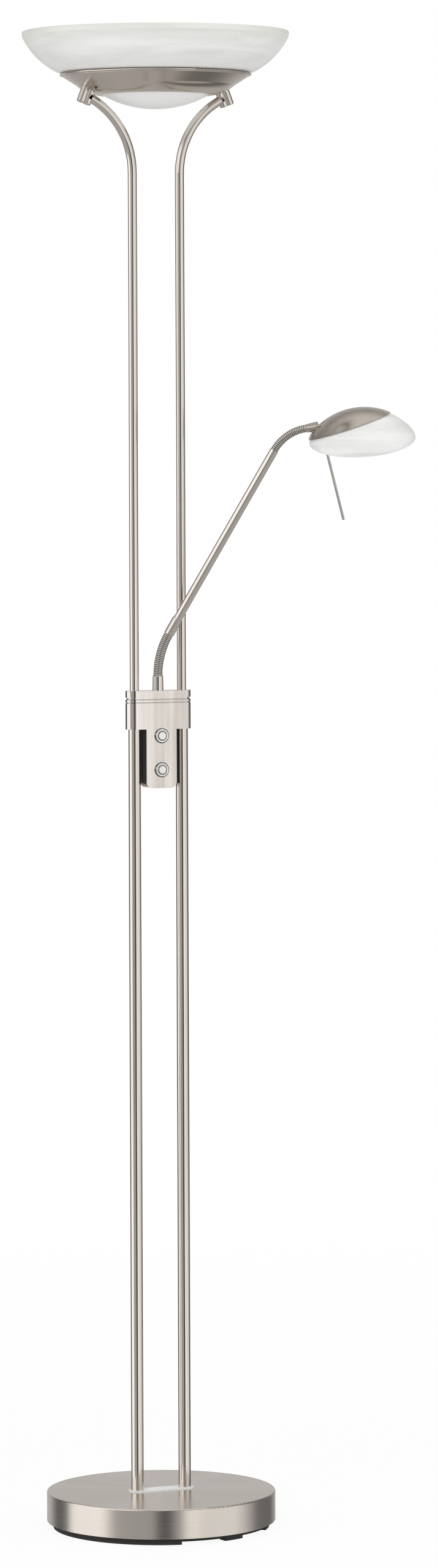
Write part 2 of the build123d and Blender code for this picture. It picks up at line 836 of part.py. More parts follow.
def lamp_holders():
    holders = []
    length, width, height = holder_size
    for side in (-1, 1):
        x = side * holder_spacing / 2
        body = block((x - length / 2, x + length / 2), (-width / 2, width / 2), (bridge_top, bridge_top + height))
        inward = x - side * length / 2
        pin = Location((inward, 0, lamp_z), (0, 90, 0)) * Cylinder(
            lamp_pin_diameter / 2 + snug, 2 * lamp_pin_depth
        )
        holders.append(body - pin)
    return Compound(children=holders)


def linear_lamp():
    inner = holder_spacing / 2 - holder_size[0] / 2
    turn = Location((0, 0, lamp_z), (0, 90, 0))
    tube_length = 2 * (inner - lamp_flat_length)
    body = turn * Cylinder(lamp_tube_diameter / 2, tube_length)
    body += block(
        (-inner + 1, inner - 1),
        (-lamp_pin_diameter / 2 + 0.5, lamp_pin_diameter / 2 - 0.5),
        (lamp_z - lamp_flat_thickness / 2, lamp_z + lamp_flat_thickness / 2),
    )
    for side in (-1, 1):
        x = side * (inner + lamp_pin_depth / 2 - 1)
        cap = Location((x, 0, lamp_z), (0, 90, 0)) * Cylinder(lamp_pin_diameter / 2, lamp_pin_depth)
        body += cap
    return body


def block_point(distance, outward):
    """A point of the right head block in XZ: along its axis from its foot, and across it."""
    tilt = radians(block_tilt_angle)
    foot_x = arm_end_x + block_foot_outside_arm_end
    foot_z = arm_end_z - block_foot_below_arm_end
    x = foot_x - distance * sin(tilt) + outward * cos(tilt)
    z = foot_z + distance * cos(tilt) + outward * sin(tilt)
    return x, z


def head_block():
    """Double barrel under the dish: the arm ends in it, and it carries the dish."""
    body = None
    for outward in (-block_barrel_spacing / 2, block_barrel_spacing / 2):
        x, z = block_point(block_length / 2, outward)
        barrel = Location((x, 0, z), (0, -block_tilt_angle, 0)) * Cylinder(
            block_barrel_diameter / 2, block_length
        )
        low_edge = barrel.edges().filter_by(GeomType.CIRCLE).sort_by(Axis.Z)[0]
        barrel = chamfer(low_edge, 0.6)
        body = barrel if body is None else body + barrel
    body -= dish_above()
    rise, bend, end = upper_tube_path()
    hole = Plane(origin=end @ 1, z_dir=end % 1)
    body -= hole * Cylinder(upper_tube_diameter / 2 + block_hole_gap, 2 * arm_end_straight)
    reach = bend @ 0.9
    start = Plane(origin=reach, z_dir=bend % 0.9)
    body -= start * Cylinder(upper_tube_diameter / 2 + block_hole_gap, 14)
    for outward in (-block_barrel_spacing / 2, block_barrel_spacing / 2):
        body -= block_screw_space(outward)
    return body


def block_screw_space(outward):
    x, z = block_point(block_screw_recess / 2, outward)
    head = Location((x, 0, z), (0, -block_tilt_angle, 0)) * Cylinder(
        block_screw_head / 2 + snug, block_screw_recess + 0.01
    )
    x, z = block_point(block_screw_length / 2, outward)
    shank = Location((x, 0, z), (0, -block_tilt_angle, 0)) * Cylinder(
        block_screw_diameter / 2 + snug, block_screw_length
    )
    return head + shank


def block_screws():
    """The two small screws in the foot of the right head block."""
    screws = []
    for outward in (-block_barrel_spacing / 2, block_barrel_spacing / 2):
        x, z = block_point(block_screw_recess / 2 + 0.1, outward)
        head = Location((x, 0, z), (0, -block_tilt_angle, 0)) * Cylinder(
            block_screw_head / 2, block_screw_recess - 0.2
        )
        x, z = block_point(block_screw_length / 2, outward)
        shank = Location((x, 0, z), (0, -block_tilt_angle, 0)) * Cylinder(
            block_screw_diameter / 2, block_screw_length - 1
        )
        screws.append(head + shank)
    return screws


# ---- Reading arm ----
arm_out = Vector(cos(radians(arm_azimuth)), -sin(radians(arm_azimuth)), 0)
arm_side = Vector(-sin(radians(arm_azimuth)), -cos(radians(arm_azimuth)), 0)
up = Vector(0, 0, 1)


def arm_point(out, height):
    """A point of the arm's own upright plane."""
    return arm_out * out + up * height


def arm_direction(angle):
    """A direction in the arm's plane, as an angle over the level."""
    return arm_out * cos(radians(angle)) + up * sin(radians(angle))


def bend_points(start, angle, length, turn):
    """Start, middle, end and end angle of an arc that bends downward from an angle."""
    radius = length / radians(turn)
    centre = start + arm_direction(angle - 90) * radius
    end = centre - arm_direction(angle - turn - 90) * radius
    middle = centre - arm_direction(angle - turn / 2 - 90) * radius
    return centre, middle, end, angle - turn


ferrule_top = arm_point(0, lid_top + ferrule_length)
lower_centre, lower_middle, lower_end, rod_angle = bend_points(
    ferrule_top, 90, lower_neck_length, lower_neck_angle
)
rod_axis = arm_direction(rod_angle)
sleeve_end = lower_end + rod_axis * sleeve_length
rod_end = sleeve_end + rod_axis * rod_length
upper_centre, upper_middle, upper_end, stem_angle = bend_points(
    rod_end, rod_angle, upper_neck_length, upper_neck_angle
)
stem_axis = arm_direction(stem_angle)
stem_end = upper_end + stem_axis * stem_sleeve_length


def bar(start, axis, radius, low, high, top_radius=None):
    """A round bar or cone along an axis, between two distances from a start point."""
    plane = Plane(origin=start + axis * low, x_dir=arm_side, z_dir=axis)
    if top_radius is None:
        return plane * Pos(0, 0, (high - low) / 2) * Cylinder(radius, high - low)
    return plane * Pos(0, 0, (high - low) / 2) * Cone(radius, top_radius, high - low)


def neck_circle(centre, start, angle, length, turn, distance, radius):
    """A disc across the neck's centre line at a distance along it, on a steady X axis."""
    here = angle - turn * distance / length
    origin = centre - arm_direction(here - 90) * (length / radians(turn))
    plane = Plane(origin=origin, x_dir=arm_side, z_dir=arm_direction(here))
    return plane * Circle(radius)


def ribbed_neck(centre, start, angle, length, turn, diameter):
    """A gooseneck hose along an arc: ribs, a bore, and a straight stub at each end."""
    count = round(length / rib_pitch)
    pitch = length / count
    crest = diameter / 2
    groove = crest - rib_depth
    sections = []
    for i in range(count):
        for share, radius in (
            (0.0, groove),
            (rib_groove_share, crest),
            (1 - rib_groove_share, crest),
        ):
            place = (i + share) * pitch
            sections.append(neck_circle(centre, start, angle, length, turn, place, radius))
    sections.append(neck_circle(centre, start, angle, length, turn, length, groove))
    hose = loft(sections, ruled=True)
    end_angle = angle - turn
    end = centre - arm_direction(end_angle - 90) * (length / radians(turn))
    stub = groove - 2 * snug
    body = hose + bar(start, arm_direction(angle), stub, -socket_depth + 1, 0)
    body += bar(end, arm_direction(end_angle), stub, 0, socket_depth - 1)
    bore_section = neck_circle(centre, start, angle, length, turn, 0, neck_bore / 2)
    spin_axis = Axis(centre, arm_side)
    bore = revolve(bore_section, spin_axis, -turn)
    if (bore.center() - (start + end) * 0.5).length > diameter * 2:
        bore = revolve(bore_section, spin_axis, turn)
    body -= bore
    body -= bar(start, arm_direction(angle), neck_bore / 2, -socket_depth, 0)
    return body - bar(end, arm_direction(end_angle), neck_bore / 2, 0, socket_depth)


def neck_socket(start, axis, diameter):
    """The bore in a ferrule or sleeve that takes a neck's stub."""
    radius = diameter / 2 - rib_depth - snug
    return bar(start, axis, radius, 0, socket_depth)


def lower_ferrule():
    """Turned foot of the reading arm, with the threaded spigot that it swivels on."""
    base = arm_point(0, lid_top)
    straight = ferrule_length - ferrule_chamfer
    body = bar(base, up, ferrule_diameter / 2, 0, straight, ferrule_top_diameter / 2)
    top = ferrule_top_diameter / 2
    body += bar(base, up, top, straight, ferrule_length, top - 0.6)
    spigot_low = lid_top - housing_wall - swivel_nut_height - swivel_thread_below_nut - running
    spigot = disc(swivel_spigot_diameter / 2, spigot_low, lid_top + 1)
    body += spigot
    body -= bar(ferrule_top, -up, lower_neck_diameter / 2 - rib_depth - snug, 0, socket_depth)
    return body - disc(arm_bore / 2, spigot_low - 1, lid_top + ferrule_length)


def swivel_nut():
    high = lid_top - housing_wall - running
    low = high - swivel_nut_height
    body = hexagon(swivel_nut_width, low, high)
    return body - disc(swivel_spigot_diameter / 2 + snug, low - 1, high + 1)


def rod_sleeve():
    """Sleeve at the rod's foot: the lower neck ends in it, and the rod starts in it."""
    body = bar(lower_end, rod_axis, sleeve_diameter / 2, 0, sleeve_length)
    ends = body.edges().filter_by(GeomType.CIRCLE)
    body = chamfer(ends, 0.4)
    body -= neck_socket(lower_end, rod_axis, lower_neck_diameter)
    body -= bar(sleeve_end, -rod_axis, rod_diameter / 2 + snug, -1, rod_into_sleeve)
    return body - bar(lower_end, rod_axis, arm_bore / 2, 0, sleeve_length)


def reading_rod():
    high = rod_length - upper_ferrule_length
    body = bar(sleeve_end, rod_axis, rod_diameter / 2, -rod_into_sleeve, high)
    bore = rod_diameter / 2 - rod_wall
    return body - bar(sleeve_end, rod_axis, bore, -rod_into_sleeve - 1, high + 1)


def upper_ferrule():
    """Plug at the rod's upper end: it turns in the rod's bore and holds the upper neck."""
    body = bar(rod_end, -rod_axis, rod_diameter / 2, 0, upper_ferrule_length - snug)
    bore = rod_diameter / 2 - rod_wall
    depth = upper_ferrule_length + upper_ferrule_overlap
    body += bar(rod_end, -rod_axis, bore - snug, upper_ferrule_length - 1, depth)
    body -= neck_socket(rod_end, -rod_axis, upper_neck_diameter)
    return body - bar(rod_end, -rod_axis, arm_bore / 2, 0, depth + 1)


# ---- Reading head ----
head_out = arm_direction(head_pitch_angle)
head_up = (
    arm_direction(head_pitch_angle + 90) * cos(radians(head_roll_angle)) + arm_side * sin(radians(head_roll_angle))
)
head_centre = stem_end + head_out * head_rear_radius - head_up * head_sleeve_height
head_plane = Plane(origin=head_centre, x_dir=head_out, z_dir=head_up)


def dome_arcs(inset):
    """Side and top arcs of the head's dome in XZ, moved inward by an inset; they meet smoothly."""
    radius, depth = dome_out_radius - inset, dome_out_depth - inset
    side = dome_shoulder - inset
    top = (radius**2 + depth**2 - 2 * radius * side) / (2 * (depth - side))
    meet = asin((radius - side) / (top - side))

    def on_arc(centre_x, centre_z, size, angle):
        return centre_x + size * sin(angle), 0, centre_z + size * cos(angle)

    half = (meet + radians(90)) / 2
    side_points = [on_arc(radius - side, 0, side, turn) for turn in (radians(90), half, meet)]
    top_points = [on_arc(0, depth - top, top, turn) for turn in (meet, meet / 2, 0)]
    return ThreePointArc(*side_points), ThreePointArc(*top_points)


def dome_solid(inset):
    """A solid dome in the head's own frame."""
    side, top = dome_arcs(inset)
    apex = top @ 1
    return turned([side, top, Line(apex, (0, 0, 0)), Line((0, 0, 0), side @ 0)])


def dome_shell(inset, wall):
    """A dome with a hollow inside, open at its rim."""
    return dome_solid(inset) - dome_solid(inset + wall)


def inner_stem(radius, start, end):
    """A bar beside the rim plane at the inner stem's height, between two places on the head's X axis."""
    height = head_sleeve_height - inner_stem_drop
    place = Location(((start + end) / 2, 0, height), (0, 90, 0))
    return head_plane * (place * Cylinder(radius, end - start))


def stem_space():
    """What the cap and the shade leave free for the flared sleeve and the inner stem."""
    sleeve = bar(stem_end, stem_axis, stem_end_diameter / 2 + running, -8, stem_overlap)
    return inner_stem(inner_stem_diameter / 2 + running, -shade_radius, plate_x) + sleeve


def reading_shade():
    shell = dome_shell(cap_wall + cap_gap, shade_wall)
    shell -= disc(boss_diameter / 2 + running, 0, shade_depth + 5)
    return head_plane * shell - stem_space()


def reading_cap():
    shell = dome_shell(0, cap_wall)
    boss_low = bracket_top - bracket_thickness - clamp_nut_height - 0.2
    shell += disc(boss_diameter / 2, boss_low, dome_out_depth - cap_wall / 2)
    big = 3 * shade_radius
    cutter = Rot(0, 0, cap_cut_turn_angle) * Pos(0, 0, cap_cut_height) * Rot(0, -cap_cut_slope_angle, 0)
    shell -= cutter * Pos(0, 0, -big / 2) * Box(big, big, big)
    tip = -shade_radius + cap_notch_length
    notch = Polyline(
        (-shade_radius - 10, -cap_notch_width * 0.75),
        (tip, -0.8),
        (tip, 0.8),
        (-shade_radius - 10, cap_notch_width * 0.75),
        close=True,
    )
    over = 0.45 * head_sleeve_height
    shell -= extrude(Pos(0, 0, over) * make_face(notch), shade_depth)
    return head_plane * shell - stem_space()


def head_stem():
    """Flared sleeve outside the head and the thinner tube that it becomes inside."""
    start, end = stem_start_diameter / 2, stem_end_diameter / 2
    body = bar(upper_end, stem_axis, start, 0, stem_sleeve_length, end)
    body += bar(stem_end, stem_axis, end, -0.01, stem_overlap)
    body += inner_stem(inner_stem_diameter / 2, -head_rear_radius, plate_x)
    body -= neck_socket(upper_end, stem_axis, upper_neck_diameter)
    body -= bar(upper_end, stem_axis, arm_bore / 2, 0, stem_sleeve_length + stem_overlap)
    return body - inner_stem(arm_bore / 2, -head_rear_radius + stem_overlap, plate_x + 1)


def head_bracket():
    """Bent strip: its plate is fixed to the stem's end, its top to the cap's boss."""
    half = bracket_width / 2
    reach = plate_x + bracket_thickness
    body = block((plate_x, boss_diameter + 1), (-half, half), (bracket_top - bracket_thickness, bracket_top))
    body += block((plate_x, reach), (-half, half), (plate_low, bracket_top))
    body -= disc(boss_diameter / 2 + snug, plate_low, bracket_top + 5)
    wire_hole = Location((plate_x, 0, head_sleeve_height - inner_stem_drop), (0, 90, 0))
    return head_plane * (body - wire_hole * Cylinder(arm_bore / 2, 20))


def shade_spacer():
    """Soft washer round the boss, between the bracket and the shade."""
    body = disc(spacer_diameter / 2, bracket_top, shade_depth)
    body -= disc(boss_diameter / 2 + snug, bracket_top - 1, shade_depth + 1)
    inner = dome_solid(cap_wall + cap_gap + shade_wall + 0.02)
    return head_plane * (body & inner)


def clamp_nut():
    """Nut on the cap's boss, under the bracket."""
    high = bracket_top - bracket_thickness
    body = hexagon(clamp_nut_width, high - clamp_nut_height, high)
    body -= disc(boss_diameter / 2 + snug, high - 10, high + 10)
    return head_plane * body


def holder_frame(distance):
    """Places a shape on the small holder's axis, counted from the bracket's plate."""
    return head_plane * Location((plate_x + bracket_thickness + distance, 0, holder_axis_height), (0, 90, 0))


def small_holder():
    """Ceramic holder on the front of the bracket's plate."""
    length = small_holder_length
    body = holder_frame(length / 2) * Cylinder(small_holder_diameter / 2, length)
    slot_depth = 2 * capsule_pin_depth
    return body - holder_frame(length) * Box(3.2, 7.2, slot_depth)


def capsule_lamp():
    """Small halogen capsule: a round envelope and a flat pinched foot."""
    radius = capsule_diameter / 2
    neck = 3.0
    straight = capsule_length - radius
    start = small_holder_length
    body = holder_frame(start + (straight + neck) / 2) * Cylinder(radius, straight - neck)
    body += holder_frame(start + straight) * Sphere(radius)
    foot = capsule_pin_depth - 0.5 + neck + 1
    return body + holder_frame(start + neck + 1 - foot / 2) * Box(3, 7, foot)


def handle_frame(distance):
    """A plane across the handle at a distance below its top."""
    lean = radians(handle_lean_angle)
    axis = head_out * sin(lean) - head_up * cos(lean)
    height = head_sleeve_height - inner_stem_drop - inner_stem_diameter / 2
    top = head_centre - head_out * handle_back + head_up * height
    return Plane(origin=top + axis * distance, x_dir=arm_side, z_dir=axis), axis


def handle_rod():
    plane, axis = handle_frame(0)
    body = plane * Pos(0, 0, handle_length / 2) * Cylinder(handle_diameter / 2, handle_length)
    body += plane * Pos(0, 0, handle_length) * Sphere(handle_diameter / 2)
    return body - inner_stem(inner_stem_diameter / 2 + snug, -shade_radius, 0)


def handle_collar():
    """Small collar that fixes the handle under the stem."""
    plane, axis = handle_frame(0)
    radius = handle_collar_diameter / 2
    body = plane * Pos(0, 0, handle_collar_length / 2) * Cylinder(radius, handle_collar_length)
    body -= plane * Cylinder(handle_diameter / 2 + snug, 3 * handle_collar_length)
    return body - inner_stem(inner_stem_diameter / 2 + snug, -shade_radius, 0)


# ---- All pieces ----
right_arm_tube = upper_tube()
right_block = head_block()
right_screws = block_screws()
pieces = {
    "base_cover": base_cover(),
    "base_weight": base_weight(),
    "base_bottom_plate": base_bottom_plate(),
    "bottom_screws": bottom_screws(),
    "foot_pads": foot_pads(),
    "cord_gland": cord_gland(),
    "tube_foot_plate": tube_foot_plate(),
    "lower_tube_left": lower_tube(-tube_x),
    "lower_tube_right": lower_tube(tube_x),
    "tube_studs": both_sides(tube_stud),
    "stud_washers": both_sides(stud_washer),
    "stud_nuts": both_sides(stud_nut),
    "upper_tube_right": right_arm_tube,
    "upper_tube_left": mirrored(right_arm_tube),
    "housing_shell": housing_shell(),
    "housing_frame": housing_frame(),
    "housing_lid": housing_lid(),
    "lid_screws": lid_screws(),
    "switch_box": switch_box(),
    "rear_screws": rear_screws(),
    "terminal_block": terminal_block(),
    "uplight_dish": uplight_dish(),
    "bowl_glass": bowl_glass(),
    "bowl_seat_ring": bowl_seat_ring(),
    "dome_glass": dome_glass(),
    "dome_ring": dome_ring(),
    "lamp_bridge": lamp_bridge(),
    "lamp_holders": lamp_holders(),
    "linear_lamp": linear_lamp(),
    "head_block_right": right_block,
    "head_block_left": mirrored(right_block),
    "head_block_screws": Compound(children=right_screws + [mirrored(s) for s in right_screws]),
    "arm_ferrule": lower_ferrule(),
    "swivel_nut": swivel_nut(),
    "lower_gooseneck": ribbed_neck(
        lower_centre, ferrule_top, 90, lower_neck_length, lower_neck_angle, lower_neck_diameter
    ),
    "rod_sleeve": rod_sleeve(),
    "reading_rod": reading_rod(),
    "upper_ferrule": upper_ferrule(),
    "upper_gooseneck": ribbed_neck(
        upper_centre, rod_end, rod_angle, upper_neck_length, upper_neck_angle, upper_neck_diameter
    ),
    "head_stem": head_stem(),
    "head_bracket": head_bracket(),
    "clamp_nut": clamp_nut(),
    "shade_spacer": shade_spacer(),
    "reading_shade": reading_shade(),
    "reading_cap": reading_cap(),
    "small_holder": small_holder(),
    "capsule_lamp": capsule_lamp(),
    "handle_rod": handle_rod(),
    "handle_collar": handle_collar(),
}
for name, z in zip(("upper", "lower"), button_heights):
    pieces["button_bezel_" + name] = button_bezel(z)
    pieces["push_button_" + name] = push_button(z)
    pieces["push_switch_" + name] = push_switch(z)

os.makedirs("parts", exist_ok=True)
for name, piece in pieces.items():
    export_step(piece, "parts/" + name + ".step")

for label, point in (
    ("lower neck middle", lower_middle),
    ("upper neck middle", upper_middle),
    ("rod end", rod_end),
    ("upper neck end", upper_end),
    ("stem end", stem_end),
    ("head centre", head_centre),
):
    print(label, [round(value, 3) for value in point])
print("rod axis", [round(value, 5) for value in rod_axis])
print("head up", [round(value, 5) for value in head_up])
print("rim height", round(bowl_rim_z, 2), "pieces", len(pieces))
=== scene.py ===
# %% [markdown]
# # A floor lamp with an uplight bowl and a reading light
# The lamp is a real assembly: every metal, glass and plastic piece already has its exact shape in
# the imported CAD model. This script dresses that model. It keeps the CAD pieces where they are,
# gives each one a procedural finish, and remakes the pieces that a CAD solid can't show well, such
# as the ribbed goosenecks. Everything is in metres, and the origin is the middle of the base.

# %% Load the frame
import math

import bpy
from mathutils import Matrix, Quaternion, Vector


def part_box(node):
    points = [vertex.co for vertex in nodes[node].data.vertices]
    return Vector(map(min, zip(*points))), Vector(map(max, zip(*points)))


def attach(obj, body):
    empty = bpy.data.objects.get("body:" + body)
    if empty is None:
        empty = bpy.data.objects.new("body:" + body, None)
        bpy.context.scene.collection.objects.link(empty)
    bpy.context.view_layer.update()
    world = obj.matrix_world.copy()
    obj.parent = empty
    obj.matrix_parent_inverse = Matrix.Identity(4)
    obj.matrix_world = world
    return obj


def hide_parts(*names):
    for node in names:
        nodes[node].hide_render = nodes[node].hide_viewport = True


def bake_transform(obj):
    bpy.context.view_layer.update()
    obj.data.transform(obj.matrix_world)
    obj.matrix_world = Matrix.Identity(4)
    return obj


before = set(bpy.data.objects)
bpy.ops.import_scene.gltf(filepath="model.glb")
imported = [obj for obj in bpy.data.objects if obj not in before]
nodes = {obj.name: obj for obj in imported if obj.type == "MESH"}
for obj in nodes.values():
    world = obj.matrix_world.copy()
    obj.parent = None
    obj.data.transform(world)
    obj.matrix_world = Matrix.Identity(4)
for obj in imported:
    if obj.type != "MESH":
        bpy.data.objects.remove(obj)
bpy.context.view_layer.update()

# %% [markdown]
# ## Camera
# The photograph looks as if it was taken from chest height and far away with a long lens, because
# the lamp looks almost flat, without the stretching of a near camera. The tubes are as far apart at the
# top as at the bottom, which means that the camera wasn't tilted. It looked straight ahead, and the
# frame was moved down over the image, as a photographer does with a shift lens. So this camera is
# level too, and its shift places the frame. It is rolled by a fifth of a degree, because in the
# photograph the lamp leans by that much.

# %% Make the camera
CAMERA_TURN = math.radians(22.6)
CAMERA_DISTANCE = 7.15
CAMERA_HEIGHT = 1.300
AIM_ASIDE = 0.0747
CAMERA_ROLL = math.radians(-0.23)
LENS = 136.2
SHIFT_DOWN = -0.2153

to_camera = Vector((-math.sin(CAMERA_TURN), -math.cos(CAMERA_TURN), 0.0))
picture_right = Vector((math.cos(CAMERA_TURN), -math.sin(CAMERA_TURN), 0.0))
camera_place = to_camera * CAMERA_DISTANCE + Vector((0.0, 0.0, CAMERA_HEIGHT))
aim = picture_right * AIM_ASIDE + Vector((0.0, 0.0, CAMERA_HEIGHT))

camera_data = bpy.data.cameras.new("photo_camera")
camera = bpy.data.objects.new("photo_camera", camera_data)
bpy.context.scene.collection.objects.link(camera)
bpy.context.scene.camera = camera
camera_data.lens = LENS
camera_data.shift_y = SHIFT_DOWN
camera_data.clip_end = 60.0
camera.location = camera_place
camera.rotation_mode = "QUATERNION"
look = (aim - camera_place).to_track_quat("-Z", "Y")
camera.rotation_quaternion = look @ Quaternion((0.0, 0.0, 1.0), CAMERA_ROLL)
print("camera at", [round(v, 3) for v in camera_place], "lens", LENS, "mm")

# %% [markdown]
# ## Small node helpers
# A procedural material is a chain of nodes: a place on the piece goes in, a pattern is worked out
# from it, and the pattern drives colour, roughness and bump. The same few steps come back in every
# finish, so they are written once here. Object coordinates are used throughout. Every piece sits at
# the origin, so they are simply the place in the lamp, and a pattern keeps its size in metres.

# %% Node helpers
def new_finish(name):
    """A new material with a Principled shader, ready for a pattern."""
    material = bpy.data.materials.new(name)
    material.use_nodes = True
    tree = material.node_tree
    tree.nodes.clear()
    output = tree.nodes.new("ShaderNodeOutputMaterial")
    shader = tree.nodes.new("ShaderNodeBsdfPrincipled")
    tree.links.new(shader.outputs["BSDF"], output.inputs["Surface"])
    return material, tree, shader


def add(tree, kind, links=None, **settings):
    """A node of a kind; settings go to its properties, links to its inputs by name or number."""
    node = tree.nodes.new(kind)
    for key, value in settings.items():
        setattr(node, key, value)
    for key, value in (links or {}).items():
        if isinstance(value, bpy.types.NodeSocket):
            tree.links.new(value, node.inputs[key])
        else:
            node.inputs[key].default_value = value
    return node


def place_on_piece(tree, scale=(1.0, 1.0, 1.0), round_z=0.0, lean=0.0):
    """Object coordinates, turned about Z, then leant about Y, then scaled for a pattern."""
    where = add(tree, "ShaderNodeTexCoord").outputs["Object"]
    turned = add(tree, "ShaderNodeMapping", {"Vector": where, "Rotation": (0.0, 0.0, round_z)})
    leant = add(tree, "ShaderNodeMapping", {"Vector": turned.outputs[0], "Rotation": (0.0, lean, 0.0)})
    scaled = add(tree, "ShaderNodeMapping", {"Vector": leant.outputs[0], "Scale": scale})
    return scaled.outputs[0]


def noise(tree, where, scale=1.0, detail=3.0, rough=0.5, warp=0.0):
    """A soft random pattern between 0 and 1."""
    links = {"Vector": where, "Scale": scale, "Detail": detail, "Roughness": rough, "Distortion": warp}
    return add(tree, "ShaderNodeTexNoise", links).outputs["Fac"]


def two_tones(tree, factor, first, second, low=0.3, high=0.7):
    """A colour that goes from the first tone to the second as the factor rises."""
    ramp = add(tree, "ShaderNodeValToRGB", {"Fac": factor})
    ramp.color_ramp.elements[0].position = low
    ramp.color_ramp.elements[0].color = (*first, 1.0)
    ramp.color_ramp.elements[1].position = high
    ramp.color_ramp.elements[1].color = (*second, 1.0)
    return ramp.outputs["Color"]


def spread(tree, factor, low, high):
    """The factor from 0 to 1, spread over a range of values."""
    return add(tree, "ShaderNodeMapRange", {"Value": factor, "To Min": low, "To Max": high}).outputs[0]


def bump(tree, shader, height, depth, strength=0.6):
    """Fine relief from a height pattern, its depth in metres."""
    links = {"Height": height, "Distance": depth, "Strength": strength}
    relief = add(tree, "ShaderNodeBump", links)
    tree.links.new(relief.outputs["Normal"], shader.inputs["Normal"])


def wear(name, *piece_names):
    """Gives a finished material to CAD pieces by name."""
    material = bpy.data.materials[name]
    for piece_name in piece_names:
        mesh = nodes[piece_name].data
        if not mesh.materials:
            mesh.materials.append(material)
        for index in range(len(mesh.materials)):
            mesh.materials[index] = material
    print(name, "on", len(piece_names), "pieces")


print("node helpers ready")

# %% [markdown]
# ## Brushed nickel
# The tubes, the switch housing and the base are steel, plated with nickel and brushed with a fine
# abrasive belt. Brushing leaves scratches thinner than a hair in one direction: along the tubes, and
# in rings on the base, which turns under the belt. A noise pattern that is stretched a hundredfold
# along the brushing gives such scratches. It changes the roughness and the bump much more than
# the colour, which is how real brushed metal works: its colour hardly varies, its gloss does. The
# upper tubes bend, so straight scratches would cross them: they and the barrels at their ends get
# an evener finish. The flat housing's colour has wider, much stronger light and dark bands. These are
# painted reflections: upright streaks of the room that its polished curves would mirror.

# %% Brushed nickel for straight pieces
NICKEL = ((0.71, 0.665, 0.615), (0.80, 0.755, 0.705))
EVEN_NICKEL = ((0.745, 0.70, 0.65), (0.77, 0.725, 0.675))
# Painted reflection: these tones lie far apart, so the housing shows light and dark streaks in its colour.
PAINTED_STREAK_NICKEL = ((0.66, 0.625, 0.585), (0.88, 0.845, 0.805))


def brushed_nickel(name, turn=(0.0, 0.0), rough=(0.10, 0.18), tones=NICKEL, depth=4e-6, bands=260.0):
    """Nickel with scratches along the Z axis, or along a piece that is turned and leans."""
    material, tree, shader = new_finish(name)
    fine = noise(tree, place_on_piece(tree, (2600.0, 2600.0, 22.0), *turn), detail=2.0)
    broad = noise(tree, place_on_piece(tree, (bands, bands, 3.0), *turn), detail=3.0, rough=0.6)
    # On the housing these broad bands are painted reflection streaks. Elsewhere they are a slight change in
    # tone.
    colour = two_tones(tree, broad, *tones, 0.35, 0.65)
    tree.links.new(colour, shader.inputs["Base Color"])
    tree.links.new(spread(tree, fine, *rough), shader.inputs["Roughness"])
    bump(tree, shader, fine, depth)
    shader.inputs["Metallic"].default_value = 1.0
    return material


ROD_TURN = (math.radians(34.6), math.radians(-30.5))
brushed_nickel("nickel_tubes")
brushed_nickel("nickel_bends", rough=(0.13, 0.15), tones=EVEN_NICKEL, depth=5e-7)
# The housing's colour carries painted reflection streaks.
brushed_nickel("nickel_housing", rough=(0.14, 0.2), tones=PAINTED_STREAK_NICKEL, bands=70.0)
brushed_nickel("nickel_rod", turn=ROD_TURN, rough=(0.07, 0.12))
wear("nickel_tubes", "lower_tube_left", "lower_tube_right", "arm_ferrule")
wear("nickel_bends", "upper_tube_left", "upper_tube_right", "head_block_left", "head_block_right")
wear("nickel_housing", "housing_lid")
wear("nickel_rod", "reading_rod", "rod_sleeve", "upper_ferrule")

# %% [markdown]
# ## Spun nickel
# The base cover and the dish under the bowl are turned sheet metal. Their scratches run in rings
# round the lamp's axis. The distance from the axis replaces one of the coordinates, so the noise
# changes from ring to ring and hardly along a ring. Their colour also changes in broad wedges round
# the axis: a painted sheen, standing in for the radial highlights of spun metal.

# %% Spun nickel for the round pieces
def spun_nickel(name, rough, tones):
    """Nickel with ring-shaped scratches round the lamp's axis, and a painted sheen in wedges round it."""
    material, tree, shader = new_finish(name)
    where = add(tree, "ShaderNodeTexCoord").outputs["Object"]
    split = add(tree, "ShaderNodeSeparateXYZ", {"Vector": where})
    x, y, z = (split.outputs[axis] for axis in "XYZ")
    flat = add(tree, "ShaderNodeCombineXYZ", {"X": x, "Y": y})
    radius = add(tree, "ShaderNodeVectorMath", {0: flat.outputs[0]}, operation="LENGTH").outputs["Value"]
    ring_place = add(tree, "ShaderNodeCombineXYZ", {"X": radius, "Y": z})
    fine = noise(tree, ring_place.outputs[0], scale=1500.0, detail=2.0)
    # Painted sheen: light and dark wedges in the colour, set by the compass direction round the axis.
    sides = add(tree, "ShaderNodeVectorMath", {0: flat.outputs[0]}, operation="NORMALIZE").outputs[0]
    painted_sheen_sectors = noise(tree, sides, scale=1.4, detail=2.0)
    colour = two_tones(tree, painted_sheen_sectors, *tones)
    tree.links.new(colour, shader.inputs["Base Color"])
    tree.links.new(spread(tree, fine, *rough), shader.inputs["Roughness"])
    bump(tree, shader, fine, 3e-6)
    shader.inputs["Metallic"].default_value = 1.0
    shader.inputs["Anisotropic"].default_value = 0.4
    return material


spun_nickel("nickel_base", (0.16, 0.26), NICKEL)
spun_nickel("nickel_dish", (0.12, 0.2), ((0.68, 0.62, 0.555), (0.80, 0.735, 0.665)))
wear("nickel_base", "base_cover")
wear("nickel_dish", "uplight_dish")

# %% [markdown]
# ## Polished nickel
# The goosenecks and the handle rod are polished, so they mirror the room with nearly hard edges. The
# buttons and the reading light's cap are polished less, and what they mirror is softer. Even a
# polished piece has faint smears, which a large soft noise puts in its roughness. The buttons get a
# lighter nickel tone than the rest, a painted highlight. The cap gets a darker one, painted shade.

# %% Polished nickel
POLISHED_TONES = ((0.66, 0.63, 0.60), (0.76, 0.73, 0.70))
